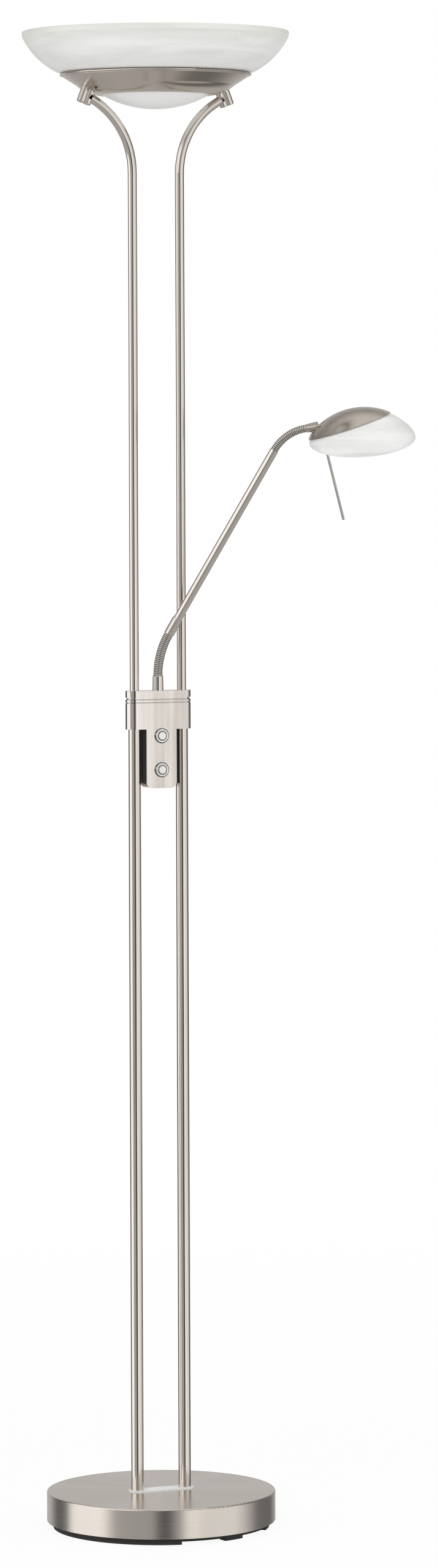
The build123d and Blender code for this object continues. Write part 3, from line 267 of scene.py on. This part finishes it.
# Painted highlight: the buttons' nickel is lighter than the other polished pieces.
BUTTON_TONES = ((0.80, 0.785, 0.77), (0.86, 0.845, 0.83))
# Painted shade: the cap's nickel is darker than the other polished pieces.
CAP_TONES = ((0.52, 0.475, 0.43), (0.61, 0.565, 0.515))


def polished_nickel(name, rough, tones):
    """Polished nickel with faint smears; the roughness says how sharply it mirrors."""
    material, tree, shader = new_finish(name)
    smears = noise(tree, place_on_piece(tree), scale=55.0, detail=4.0, rough=0.6, warp=0.4)
    fine = noise(tree, place_on_piece(tree), scale=1800.0, detail=1.0)
    tree.links.new(two_tones(tree, smears, *tones), shader.inputs["Base Color"])
    tree.links.new(spread(tree, smears, *rough), shader.inputs["Roughness"])
    bump(tree, shader, fine, 1.5e-6)
    shader.inputs["Metallic"].default_value = 1.0
    return material


polished_nickel("nickel_polished", (0.05, 0.11), POLISHED_TONES)
polished_nickel("nickel_button", (0.1, 0.16), BUTTON_TONES)
polished_nickel("nickel_cap", (0.17, 0.25), CAP_TONES)
wear("nickel_polished", "handle_rod", "handle_collar")
wear("nickel_cap", "reading_cap", "head_stem")

# %% [markdown]
# ## Dark rings and grooves
# Where polished metal dips or bevels away, it mirrors dark corners of the room and looks nearly
# black. Three such places are too fine to come out of the shape alone: a ring on each button with
# the bevel round it, the two grooves round the switch housing, and the grooves between the ribs of
# the goosenecks. A copy of a finish gets a shadow tone there. On the buttons the distance from the
# button's axis places it, on the housing the height does, and on the hoses a value named groove
# does, which Geometry Nodes store on the mesh further down.

# %% Finishes with shadowed places
SHADOW = (0.05, 0.048, 0.045)
RING_SHADOWS = ((0.44, 0.0), (0.47, 0.9), (0.54, 0.9), (0.57, 0.0), (0.76, 0.0), (0.80, 0.75))
BAND_SHADOWS = (
    (0.14, 0.0), (0.18, 0.4), (0.33, 0.4), (0.37, 0.0),
    (0.61, 0.0), (0.65, 0.4), (0.79, 0.4), (0.83, 0.0),
)
BAND_HEIGHTS = (0.990, 0.998)


def shadowed_copy(name, source, shadow, share_in):
    """A copy of a finish whose colour falls to a shadow tone where the share is high."""
    material = bpy.data.materials[source].copy()
    material.name = name
    tree = material.node_tree
    shader = tree.nodes["Principled BSDF"]
    colour = shader.inputs["Base Color"].links[0].from_socket
    links = {0: share_in(tree), 6: colour, 7: (*shadow, 1.0)}
    mix = add(tree, "ShaderNodeMix", links, data_type="RGBA")
    tree.links.new(mix.outputs[2], shader.inputs["Base Color"])
    return material


def shadow_ramp(tree, value, shadows):
    """How deep the shadow is along a value, from places between 0 and 1 and their depths."""
    ramp = add(tree, "ShaderNodeValToRGB", {"Fac": value})
    stops = ramp.color_ramp.elements
    while len(stops) < len(shadows):
        stops.new(0.5)
    for stop, (place, depth) in zip(stops, shadows):
        stop.position = place
        stop.color = (depth, depth, depth, 1.0)
    return ramp.outputs["Color"]


def ring_share(height):
    """A share that is high in a ring groove and on a bevel; the ramp's full length is 10 mm."""
    def share_in(tree):
        where = add(tree, "ShaderNodeTexCoord").outputs["Object"]
        links = {0: where, 1: (0.0, 0.0, height)}
        centred = add(tree, "ShaderNodeVectorMath", links, operation="SUBTRACT").outputs[0]
        links = {0: centred, 1: (100.0, 0.0, 100.0)}
        flat = add(tree, "ShaderNodeVectorMath", links, operation="MULTIPLY").outputs[0]
        radius = add(tree, "ShaderNodeVectorMath", {0: flat}, operation="LENGTH").outputs["Value"]
        return shadow_ramp(tree, radius, RING_SHADOWS)
    return share_in


def band_share(tree):
    """A share that is high in the two grooves that run round the switch housing."""
    where = add(tree, "ShaderNodeTexCoord").outputs["Object"]
    height = add(tree, "ShaderNodeSeparateXYZ", {"Vector": where}).outputs["Z"]
    links = {"Value": height, "From Min": BAND_HEIGHTS[0], "From Max": BAND_HEIGHTS[1]}
    return shadow_ramp(tree, add(tree, "ShaderNodeMapRange", links).outputs[0], BAND_SHADOWS)


def groove_share(tree):
    """A share that is high in a hose's grooves."""
    depth = add(tree, "ShaderNodeAttribute", attribute_name="groove").outputs["Fac"]
    return add(tree, "ShaderNodeMapRange", {"Value": depth, "From Min": 0.12, "From Max": 0.7}).outputs[0]


shadowed_copy("nickel_hose", "nickel_polished", SHADOW, groove_share)
shadowed_copy("nickel_band", "nickel_housing", SHADOW, band_share)
wear("nickel_band", "housing_shell")
for level in ("upper", "lower"):
    low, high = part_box("button_bezel_" + level)
    shadowed_copy("nickel_button_" + level, "nickel_button", SHADOW, ring_share((low[2] + high[2]) / 2))
    wear("nickel_button_" + level, "push_button_" + level, "button_bezel_" + level)

# %% [markdown]
# ## Alabaster glass
# The bowl and the dome are blown white glass with faint clouds, made to look like alabaster. The
# glass scatters light inside, so it gets a little subsurface scattering, and its surface is smooth
# with a soft gloss. The clouds lie in long level wisps, because the glass was spun in its mould, so
# the noise is squeezed in height. The bowl's upright rim looks greyer and a little green.

# %% White glasses
BOWL_RIM = (1.783, 1.799)
RIM_TINT = (0.70, 0.715, 0.66)


def cloudy_glass(name, tint, cloud, rough, size=1.6, rim_heights=None):
    """White scattering glass with level wisps, and a greener rim between two heights."""
    material, tree, shader = new_finish(name)
    squeezed = place_on_piece(tree, (4.0, 4.0, 34.0))
    wisps = noise(tree, squeezed, scale=size, detail=5.0, rough=0.55, warp=0.7)
    colour = two_tones(tree, wisps, cloud, tint, 0.32, 0.62)
    if rim_heights:
        where = add(tree, "ShaderNodeTexCoord").outputs["Object"]
        height = add(tree, "ShaderNodeSeparateXYZ", {"Vector": where}).outputs["Z"]
        near = {"Value": height, "From Min": rim_heights[0], "From Max": rim_heights[1], "To Max": 0.75}
        share = add(tree, "ShaderNodeMapRange", near).outputs[0]
        mix = add(tree, "ShaderNodeMix", {0: share, 6: colour, 7: (*RIM_TINT, 1.0)}, data_type="RGBA")
        colour = mix.outputs[2]
    tree.links.new(colour, shader.inputs["Base Color"])
    tree.links.new(spread(tree, wisps, *rough), shader.inputs["Roughness"])
    bump(tree, shader, wisps, 0.0003, 0.3)
    shader.inputs["IOR"].default_value = 1.5
    shader.inputs["Subsurface Weight"].default_value = 0.15
    shader.inputs["Subsurface Radius"].default_value = (0.012, 0.012, 0.011)
    return material


print("white glass starts its greener rim at", BOWL_RIM[0], "m")

# %% [markdown]
# The three glasses differ a little. The bowl is satin, the dome under it is glossier and whiter, and
# the reading shade is the glossiest and a little darker, with smaller clouds.

# %% Alabaster on the bowl, the dome and the reading shade
cloudy_glass("glass_bowl", (0.89, 0.89, 0.875), (0.76, 0.765, 0.735), (0.2, 0.3), rim_heights=BOWL_RIM)
cloudy_glass("glass_dome", (0.97, 0.97, 0.96), (0.93, 0.93, 0.915), (0.12, 0.2))
cloudy_glass("glass_shade", (0.84, 0.84, 0.835), (0.71, 0.71, 0.70), (0.08, 0.16), size=2.2)
wear("glass_bowl", "bowl_glass")
wear("glass_dome", "dome_glass")
wear("glass_shade", "reading_shade")

# %% [markdown]
# ## Clear glass and the clear foot plate
# The halogen lamps are quartz tubes, clear with a very slight haze. The thin plate under the tubes
# is clear plastic, and only its bright edge shows. Both let light through, which is set on the
# shader itself, and a soft pattern only touches the roughness.

# %% Clear materials
def clear(name, tint, see_through, rough, bend):
    """A clear material with a faint haze."""
    material, tree, shader = new_finish(name)
    haze = noise(tree, place_on_piece(tree), scale=90.0, detail=3.0)
    tone = tuple(value * 0.97 for value in tint)
    tree.links.new(two_tones(tree, haze, tone, tint), shader.inputs["Base Color"])
    tree.links.new(spread(tree, haze, *rough), shader.inputs["Roughness"])
    shader.inputs["Transmission Weight"].default_value = see_through
    shader.inputs["IOR"].default_value = bend
    return material


clear("quartz", (0.97, 0.97, 0.97), 0.95, (0.0, 0.05), 1.46)
clear("clear_plate", (0.90, 0.90, 0.89), 0.55, (0.05, 0.14), 1.49)
wear("quartz", "linear_lamp", "capsule_lamp")
wear("clear_plate", "tube_foot_plate")

# %% [markdown]
# ## Dull materials
# Cast iron has a pimply skin from the sand mould, moulded plastic a fine leather-like grain, rubber
# a matt bloom, and unglazed ceramic small dark specks. One function makes all of them, with the
# grain's size and depth as its inputs, because they differ in nothing else.

# %% Dull materials
def dull(name, first, second, rough, grain, depth, patches=14.0):
    """A matt material with a grain of a given size and depth."""
    material, tree, shader = new_finish(name)
    clouds = noise(tree, place_on_piece(tree), scale=patches, detail=4.0)
    grains = noise(tree, place_on_piece(tree), scale=1.0 / grain, detail=2.0)
    tree.links.new(two_tones(tree, clouds, first, second), shader.inputs["Base Color"])
    tree.links.new(spread(tree, grains, *rough), shader.inputs["Roughness"])
    bump(tree, shader, grains, depth)
    return material


dull("cast_iron", (0.035, 0.035, 0.037), (0.06, 0.058, 0.057), (0.55, 0.8), 0.0022, 0.0003)
dull("black_plastic", (0.010, 0.010, 0.010), (0.017, 0.016, 0.015), (0.38, 0.5), 0.0006, 0.00002)
dull("rubber", (0.014, 0.014, 0.014), (0.026, 0.025, 0.025), (0.6, 0.78), 0.0009, 0.00005)
dull("ceramic", (0.80, 0.78, 0.72), (0.87, 0.85, 0.80), (0.5, 0.65), 0.0012, 0.00004)
wear("cast_iron", "base_weight")
wear("black_plastic", "base_bottom_plate", "switch_box", "push_switch_upper", "push_switch_lower")
wear("black_plastic", "terminal_block", "cord_gland")
wear("rubber", "foot_pads", "bowl_seat_ring", "shade_spacer")
wear("ceramic", "lamp_holders", "small_holder")

# %% [markdown]
# ## Zinc-plated hardware
# Screws, nuts, studs and the brackets inside are plain steel with a zinc skin. Zinc shows a
# patchwork of crystals, so a cell pattern, where each cell has its own tone, makes it.

# %% Zinc
def zinc(name):
    """Zinc-plated steel with small crystal patches."""
    material, tree, shader = new_finish(name)
    where = place_on_piece(tree)
    cells = add(tree, "ShaderNodeTexVoronoi", {"Vector": where, "Scale": 420.0}).outputs["Color"]
    tone = add(tree, "ShaderNodeSeparateXYZ", {"Vector": cells}).outputs["X"]
    colour = two_tones(tree, tone, (0.52, 0.53, 0.54), (0.64, 0.65, 0.66))
    tree.links.new(colour, shader.inputs["Base Color"])
    tree.links.new(spread(tree, tone, 0.28, 0.4), shader.inputs["Roughness"])
    bump(tree, shader, tone, 0.00001)
    shader.inputs["Metallic"].default_value = 1.0
    return material


zinc("zinc")
wear("zinc", "bottom_screws", "tube_studs", "stud_washers", "stud_nuts", "housing_frame", "lid_screws")
wear("zinc", "rear_screws", "dome_ring", "lamp_bridge", "head_block_screws", "swivel_nut")
wear("zinc", "head_bracket", "clamp_nut")

# %% [markdown]
# ## The goosenecks
# The reading arm bends at two ribbed metal hoses. On the real lamp a wire of half-round section is
# wound tightly into a hose, so every turn shows as one rounded rib with a thin dark groove beside it.
# A curve follows the middle of the hose, and Geometry Nodes give that curve a radius that rises and
# falls once per rib, then sweep a circle along it. The number of ribs, their depth and the hose's
# size are named inputs, so the same tree makes the thick lower hose and the thin upper one.

# %% The tree that makes a ribbed hose
def group_with(name, sockets):
    """A geometry group with a geometry input, named value inputs and a geometry output."""
    tree = bpy.data.node_groups.new(name, "GeometryNodeTree")
    tree.interface.new_socket("Geometry", in_out="INPUT", socket_type="NodeSocketGeometry")
    for socket_name, kind in sockets.items():
        tree.interface.new_socket(socket_name, in_out="INPUT", socket_type="NodeSocket" + kind)
    tree.interface.new_socket("Geometry", in_out="OUTPUT", socket_type="NodeSocketGeometry")
    return tree, tree.nodes.new("NodeGroupInput"), tree.nodes.new("NodeGroupOutput")


def maths(tree, operation, first, second=0.0):
    """One Math node; each value is a number or the output of another node."""
    return add(tree, "ShaderNodeMath", {0: first, 1: second}, operation=operation).outputs[0]


def ribbed_hose_tree():
    """Sweeps a circle along a curve, with a radius that makes one rounded rib after another."""
    sizes = {"Ribs": "Int", "Rib depth": "Float", "Hose radius": "Float", "Rings per rib": "Int"}
    tree, given, result = group_with("ribbed_hose", sizes | {"Sides": "Int", "Finish": "Material"})
    get = given.outputs
    rings = maths(tree, "MULTIPLY", get["Ribs"], get["Rings per rib"])
    count = maths(tree, "ADD", rings, 1.0)
    links = {"Curve": get["Geometry"], "Count": count}
    line = add(tree, "GeometryNodeResampleCurve", links).outputs[0]
    ring_number = add(tree, "GeometryNodeInputIndex").outputs[0]
    turns = maths(tree, "DIVIDE", ring_number, get["Rings per rib"])
    wave = maths(tree, "ABSOLUTE", maths(tree, "SINE", maths(tree, "MULTIPLY", turns, math.pi)))
    rounded = maths(tree, "POWER", wave, 0.55)
    share = maths(tree, "SUBTRACT", 1.0, rounded)
    sunk = maths(tree, "MULTIPLY", get["Rib depth"], share)
    links = {"Geometry": line, "Name": "groove", "Value": share}
    line = add(tree, "GeometryNodeStoreNamedAttribute", links, data_type="FLOAT").outputs[0]
    radius = maths(tree, "SUBTRACT", get["Hose radius"], sunk)
    line = add(tree, "GeometryNodeSetCurveRadius", {"Curve": line, "Radius": radius}).outputs[0]
    circle = add(tree, "GeometryNodeCurvePrimitiveCircle", {"Resolution": get["Sides"], "Radius": 1.0})
    links = {"Curve": line, "Profile Curve": circle.outputs["Curve"], "Fill Caps": True}
    sweep = add(tree, "GeometryNodeCurveToMesh", links)
    if "Scale" in sweep.inputs:
        tree.links.new(radius, sweep.inputs["Scale"])
    real = add(tree, "GeometryNodeRealizeInstances", {"Geometry": sweep.outputs[0]}).outputs[0]
    smooth = add(tree, "GeometryNodeSetShadeSmooth", {"Geometry": real}).outputs[0]
    links = {"Geometry": smooth, "Material": get["Finish"]}
    dressed = add(tree, "GeometryNodeSetMaterial", links).outputs[0]
    tree.links.new(dressed, result.inputs[0])
    return tree


hose_tree = ribbed_hose_tree()
print("tree", hose_tree.name, "has", len(hose_tree.nodes), "nodes")

# %% [markdown]
# ## From nodes to plain meshes
# A Geometry Nodes result only exists while its modifier is there. The lamp's joints and the export
# need a plain mesh, so the evaluated result is copied into a new object and the modifier goes.

# %% Turn a tree's result into a plain piece
def grown_mesh(name, source, tree, values):
    """The mesh that a tree grows from a source object, as a new plain object."""
    modifier = source.modifiers.new(tree.name, "NODES")
    modifier.node_group = tree
    for item in tree.interface.items_tree:
        if item.in_out == "INPUT" and item.name in values:
            modifier[item.identifier] = values[item.name]
    bpy.context.view_layer.update()
    graph = bpy.context.evaluated_depsgraph_get()
    mesh = bpy.data.meshes.new_from_object(source.evaluated_get(graph), depsgraph=graph)
    source.modifiers.remove(modifier)
    bpy.data.objects.remove(source)
    mesh.name = name
    piece = bpy.data.objects.new(name, mesh)
    bpy.context.scene.collection.objects.link(piece)
    print(name, "has", len(mesh.polygons), "faces")
    return piece


def open_line(name, points):
    """A curve object of one open line through the points."""
    data = bpy.data.curves.new(name, "CURVE")
    data.dimensions = "3D"
    spline = data.splines.new("POLY")
    spline.points.add(len(points) - 1)
    for point, place in zip(spline.points, points):
        point.co = (*place, 1.0)
    source = bpy.data.objects.new(name, data)
    bpy.context.scene.collection.objects.link(source)
    return source


print("helpers for grown meshes ready")

# %% [markdown]
# ## The arcs of the two hoses
# Each hose is a true arc in the upright plane of the arm. It starts along one direction and ends
# along another, and its length between them fixes the arc's radius. Where one rib ends, the next
# begins, so the number of ribs is the length divided by the pitch.

# %% The two hoses
ARM_TURN = math.radians(34.6)
arm_out = Vector((math.cos(ARM_TURN), -math.sin(ARM_TURN), 0.0))
RIB_PITCH = 0.0022
RIB_DEPTH = 0.00075


def hose_line(start, first_angle, last_angle, length, steps=96):
    """Points of an arc from a start, its slope going from the first to the last angle."""
    first, last = math.radians(first_angle), math.radians(last_angle)
    radius = length / (first - last)
    points = []
    for step in range(steps + 1):
        angle = first + (last - first) * step / steps
        out = radius * (math.sin(first) - math.sin(angle))
        rise = radius * (math.cos(angle) - math.cos(first))
        points.append(start + arm_out * out + Vector((0.0, 0.0, rise)))
    return points


def ribbed_hose(name, start, angles, length, diameter):
    """A ribbed hose as a finished piece, with its two ends."""
    points = hose_line(Vector(start), *angles, length)
    values = {"Ribs": round(length / RIB_PITCH), "Rib depth": RIB_DEPTH, "Hose radius": diameter / 2}
    values |= {"Rings per rib": 10, "Sides": 48, "Finish": bpy.data.materials["nickel_hose"]}
    piece = grown_mesh(name, open_line(name + "_line", points), hose_tree, values)
    return piece, points[0], points[-1]


LOWER_START = (0.0, 0.0, 1.0243)
UPPER_START = (0.118328, -0.081629, 1.295077)
lower_hose, lower_from, lower_to = ribbed_hose("lower_hose_ribs", LOWER_START, (90.0, 59.5), 0.0522, 0.0113)
upper_hose, upper_from, upper_to = ribbed_hose("upper_hose_ribs", UPPER_START, (59.5, 8.0), 0.0486, 0.0095)
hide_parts("lower_gooseneck")
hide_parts("upper_gooseneck")
print("lower hose ends at", [round(v, 4) for v in lower_to], "upper at", [round(v, 4) for v in upper_to])

# %% [markdown]
# ## Filaments
# Inside both halogen lamps is a tungsten wire, wound into a long tight spring that is held between
# the ends. Geometry Nodes have a spiral curve for this: its turns, radius and length are
# inputs, and sweeping a small circle along it gives the wire.

# %% The tree that winds a filament
def filament_tree():
    """Winds a wire round a straight line along X."""
    sizes = {"Turns": "Float", "Coil radius": "Float", "Coil length": "Float", "Wire radius": "Float"}
    sizes |= {"Middle": "Vector", "Turn": "Vector", "Finish": "Material"}
    tree, given, result = group_with("filament", sizes)
    get = given.outputs
    links = {"Resolution": 10, "Rotations": get["Turns"], "Start Radius": get["Coil radius"]}
    links |= {"End Radius": get["Coil radius"], "Height": get["Coil length"]}
    spiral = add(tree, "GeometryNodeCurveSpiral", links).outputs[0]
    half = maths(tree, "MULTIPLY", get["Coil length"], -0.5)
    drop = add(tree, "ShaderNodeCombineXYZ", {"Z": half}).outputs[0]
    centred = add(tree, "GeometryNodeTransform", {"Geometry": spiral, "Translation": drop}).outputs[0]
    turn = add(tree, "FunctionNodeEulerToRotation", {0: get["Turn"]}).outputs[0]
    links = {"Geometry": centred, "Rotation": turn, "Translation": get["Middle"]}
    placed = add(tree, "GeometryNodeTransform", links).outputs[0]
    circle = add(tree, "GeometryNodeCurvePrimitiveCircle", {"Resolution": 6, "Radius": get["Wire radius"]})
    links = {"Curve": placed, "Profile Curve": circle.outputs["Curve"], "Fill Caps": True}
    wire = add(tree, "GeometryNodeCurveToMesh", links).outputs[0]
    real = add(tree, "GeometryNodeRealizeInstances", {"Geometry": wire}).outputs[0]
    smooth = add(tree, "GeometryNodeSetShadeSmooth", {"Geometry": real}).outputs[0]
    links = {"Geometry": smooth, "Material": get["Finish"]}
    dressed = add(tree, "GeometryNodeSetMaterial", links).outputs[0]
    tree.links.new(dressed, result.inputs[0])
    return tree


wound_wire = filament_tree()
print("tree", wound_wire.name, "has", len(wound_wire.nodes), "nodes")

# %% [markdown]
# ## Where the filaments go
# The long one lies level in the bowl's lamp, along the tubes' plane. The small one points along the
# reading head's capsule, so it is turned with the arm. Each is centred in the box of its lamp.

# %% Wind the two filaments
def filament(name, body, middle, turn, turns, length, coil_radius):
    """A wound wire as a finished piece that rides on a body."""
    values = {"Turns": float(turns), "Coil radius": coil_radius, "Coil length": length}
    values |= {"Wire radius": 0.00018, "Middle": tuple(middle), "Turn": tuple(turn)}
    values |= {"Finish": bpy.data.materials["tungsten"]}
    piece = grown_mesh(name, open_line(name + "_line", [(0, 0, 0), (0, 0, 0.001)]), wound_wire, values)
    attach(piece, body)
    return piece


def middle_of(node):
    """The middle of a CAD piece's box."""
    low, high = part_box(node)
    return (Vector(low) + Vector(high)) / 2


dull("tungsten", (0.20, 0.20, 0.21), (0.30, 0.30, 0.31), (0.35, 0.5), 0.0004, 0.000005)
bpy.data.materials["tungsten"].node_tree.nodes["Principled BSDF"].inputs["Metallic"].default_value = 1.0
across = (0.0, math.radians(90.0), 0.0)
filament("long_filament", "stand", middle_of("linear_lamp"), across, 46, 0.092, 0.0013)
head_turn = (0.0, math.radians(90.1), -ARM_TURN)
filament("small_filament", "reading_head", middle_of("capsule_lamp"), head_turn, 11, 0.007, 0.0011)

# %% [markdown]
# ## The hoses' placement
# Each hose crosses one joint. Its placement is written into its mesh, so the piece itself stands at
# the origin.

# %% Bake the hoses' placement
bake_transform(lower_hose)
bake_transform(upper_hose)

# %% [markdown]
# ## The studio round the lamp
# Polished metal shows nothing of its own: what looks like its shading is the room, mirrored. A
# product photographer therefore builds a room of bright panels with dark gaps between them. The
# world does the same here. For rays that the metal sends out, it is a ring of panels round the lamp,
# as a ramp over the compass direction: wide bright panels on both sides, and a narrow dark gap where
# the camera stands. Below the horizon a calmer ring stands for the floor, which the leaning rod
# mirrors on its right side, and above eye level a ring with a wider left panel lights its left side.
# Over them come a darker cove and a bright ceiling, which the cap of the reading light mirrors. For
# the camera and through clear glass, all of it is plain white.

# %% Panels round the lamp
PANELS = (
    (-180, -150, 0.55), (-130, -110, 0.10), (-102, -60, 1.25), (-48, -6, 0.40), (-3, 10, 0.0),
    (14, 20, 0.35), (25, 33, 1.20), (42, 80, 0.95), (112, 145, 0.15), (165, 180, 0.55),
)
LOW_PANELS = ((-180, 135, 0.45), (142, 152, 0.15), (162, 180, 0.45))
HIGH_PANELS = (
    (-180, -150, 0.55), (-130, -110, 0.10), (-102, -30, 1.25), (-20, 10, 0.35), (50, 70, 0.80),
    (112, 145, 0.15), (165, 180, 0.55),
)
WARM = (1.0, 0.98, 0.96)
BRIGHTEST = 1.25
COVE = (0.40, 0.385, 0.37)
CEILING = (0.88, 0.85, 0.82)
AMBIENT = (0.78, 0.78, 0.78)
FLOOR_EDGE = (-0.19, -0.30)
EYE_EDGE = (0.06, 0.11)
COVE_EDGE = (0.40, 0.60)
TOP_EDGE = (0.66, 0.92)


def compass_share(tree, direction):
    """How far round from the camera a direction points, from 0 to 1, the camera's own at a half."""
    parts = []
    for axis in (picture_right, to_camera):
        links = {0: direction, 1: tuple(axis)}
        parts.append(add(tree, "ShaderNodeVectorMath", links, operation="DOT_PRODUCT").outputs["Value"])
    angle = maths(tree, "ARCTAN2", *parts)
    return maths(tree, "ADD", maths(tree, "DIVIDE", angle, 2 * math.pi), 0.5)


def mixed(tree, share, first, second):
    """A colour between two; each is a colour or another node's output."""
    node = add(tree, "ShaderNodeMix", {0: share}, data_type="RGBA")
    for index, value in ((6, first), (7, second)):
        if isinstance(value, bpy.types.NodeSocket):
            tree.links.new(value, node.inputs[index])
        else:
            node.inputs[index].default_value = (*value, 1.0)
    return node.outputs[2]


def panel_ring(tree, share, panels):
    """Flat panels from one compass angle to another; the light changes evenly between them."""
    ramp = add(tree, "ShaderNodeValToRGB", {"Fac": share})
    ends = [(angle, level) for first, last, level in panels for angle in (first, last)]
    stops = ramp.color_ramp.elements
    while len(stops) < len(ends):
        stops.new(0.5)
    for stop, (angle, level) in zip(stops, ends):
        stop.position = angle / 360 + 0.5
        stop.color = (*(level / BRIGHTEST * tone for tone in WARM), 1.0)
    links = {0: ramp.outputs["Color"], "Scale": BRIGHTEST}
    return add(tree, "ShaderNodeVectorMath", links, operation="SCALE").outputs["Vector"]


def make_world():
    """The room: panels for glossy rays, even light for matt surfaces, white for the camera."""
    world = bpy.data.worlds.new("studio")
    bpy.context.scene.world = world
    world.use_nodes = True
    tree = world.node_tree
    tree.nodes.clear()
    direction = add(tree, "ShaderNodeTexCoord").outputs["Generated"]
    share = compass_share(tree, direction)
    room = panel_ring(tree, share, PANELS)
    below = panel_ring(tree, share, LOW_PANELS)
    above = panel_ring(tree, share, HIGH_PANELS)
    height = add(tree, "ShaderNodeSeparateXYZ", {"Vector": direction}).outputs["Z"]
    edges = (FLOOR_EDGE, EYE_EDGE, COVE_EDGE, TOP_EDGE)
    for (start, end), light in zip(edges, (below, above, COVE, CEILING)):
        links = {"Value": height, "From Min": start, "From Max": end}
        past = add(tree, "ShaderNodeMapRange", links).outputs[0]
        room = mixed(tree, past, room, light)
    ray = add(tree, "ShaderNodeLightPath").outputs
    seen = mixed(tree, ray["Is Glossy Ray"], AMBIENT, room)
    direct = maths(tree, "MAXIMUM", ray["Is Camera Ray"], ray["Is Transmission Ray"])
    colour = mixed(tree, direct, seen, (1.0, 1.0, 1.0))
    back = add(tree, "ShaderNodeBackground", {"Color": colour, "Strength": 1.0})
    output = add(tree, "ShaderNodeOutputWorld", {"Surface": back.outputs[0]})
    return world, output


make_world()
print("world with", len(PANELS), "panels round the compass")

# %% [markdown]
# ## Floor
# The floor is a large pale sheet. For the camera it is mostly plain white with some real diffuse
# shading mixed in near the lamp, so it keeps a soft shadow under its base. Glossy rays pass through
# the floor to the room's panels, so the stripes on the tubes run on down to the base.

# %% The floor
FLOOR_HALF = 20.0
FADE_FROM, FADE_TO = 0.6, 3.0
WHITE_SHARE = 0.93


def make_floor(half):
    """A wide flat sheet at the lamp's feet, with its own material."""
    mesh = bpy.data.meshes.new("floor")
    corners = [(-half, -half, 0.0), (half, -half, 0.0), (half, half, 0.0), (-half, half, 0.0)]
    mesh.from_pydata(corners, [], [(0, 1, 2, 3)])
    floor = bpy.data.objects.new("floor", mesh)
    bpy.context.scene.collection.objects.link(floor)
    material, tree, shader = new_finish("floor_white")
    shader.inputs["Base Color"].default_value = (0.86, 0.86, 0.86, 1.0)
    shader.inputs["Roughness"].default_value = 0.9
    output = [node for node in tree.nodes if node.bl_idname == "ShaderNodeOutputMaterial"][0]
    ray = add(tree, "ShaderNodeLightPath").outputs
    white = add(tree, "ShaderNodeEmission", {"Color": (1.0, 1.0, 1.0, 1.0), "Strength": 1.0})
    direct = maths(tree, "MAXIMUM", ray["Is Camera Ray"], ray["Is Transmission Ray"])
    where = add(tree, "ShaderNodeTexCoord").outputs["Object"]
    away = add(tree, "ShaderNodeVectorMath", {0: where}, operation="LENGTH").outputs["Value"]
    links = {"Value": away, "From Min": FADE_FROM, "From Max": FADE_TO, "To Min": WHITE_SHARE, "To Max": 1.0}
    fade = add(tree, "ShaderNodeMapRange", links).outputs[0]
    share = maths(tree, "MULTIPLY", direct, fade)
    plain = add(tree, "ShaderNodeMixShader", {0: share, 1: shader.outputs[0], 2: white.outputs[0]})
    through = add(tree, "ShaderNodeBsdfTransparent")
    links = {0: ray["Is Glossy Ray"], 1: plain.outputs[0], 2: through.outputs[0]}
    whole = add(tree, "ShaderNodeMixShader", links)
    tree.links.new(whole.outputs[0], output.inputs["Surface"])
    mesh.materials.append(material)
    return floor


make_floor(FLOOR_HALF)
print("floor is", 2 * FLOOR_HALF, "m wide")

# %% [markdown]
# ## Lights
# Two large soft area lights stand high in front, one on each side, the left one stronger. They give
# the glass bowl its roundness and lay the shadow on the floor. They are hidden from glossy rays,
# because the panels of the world already stand for them in the metal.

# %% The two soft lights
def soft_light(name, place, aim_at, watts, size):
    """A square area light that looks at a point."""
    data = bpy.data.lights.new(name, "AREA")
    data.energy = watts
    data.size = size
    lamp = bpy.data.objects.new(name, data)
    bpy.context.scene.collection.objects.link(lamp)
    lamp.location = place
    lamp.rotation_mode = "QUATERNION"
    lamp.rotation_quaternion = (Vector(aim_at) - Vector(place)).to_track_quat("-Z", "Y")
    lamp.visible_glossy = False
    return lamp


soft_light("left_light", (-2.6, -2.4, 3.0), (0.0, 0.0, 1.2), 42.0, 1.6)
soft_light("right_light", (2.4, -1.6, 2.6), (0.0, 0.0, 1.2), 22.0, 1.6)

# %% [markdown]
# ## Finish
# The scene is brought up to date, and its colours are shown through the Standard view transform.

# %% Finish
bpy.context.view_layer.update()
view_settings = bpy.context.scene.view_settings
view_settings.view_transform = "Standard"
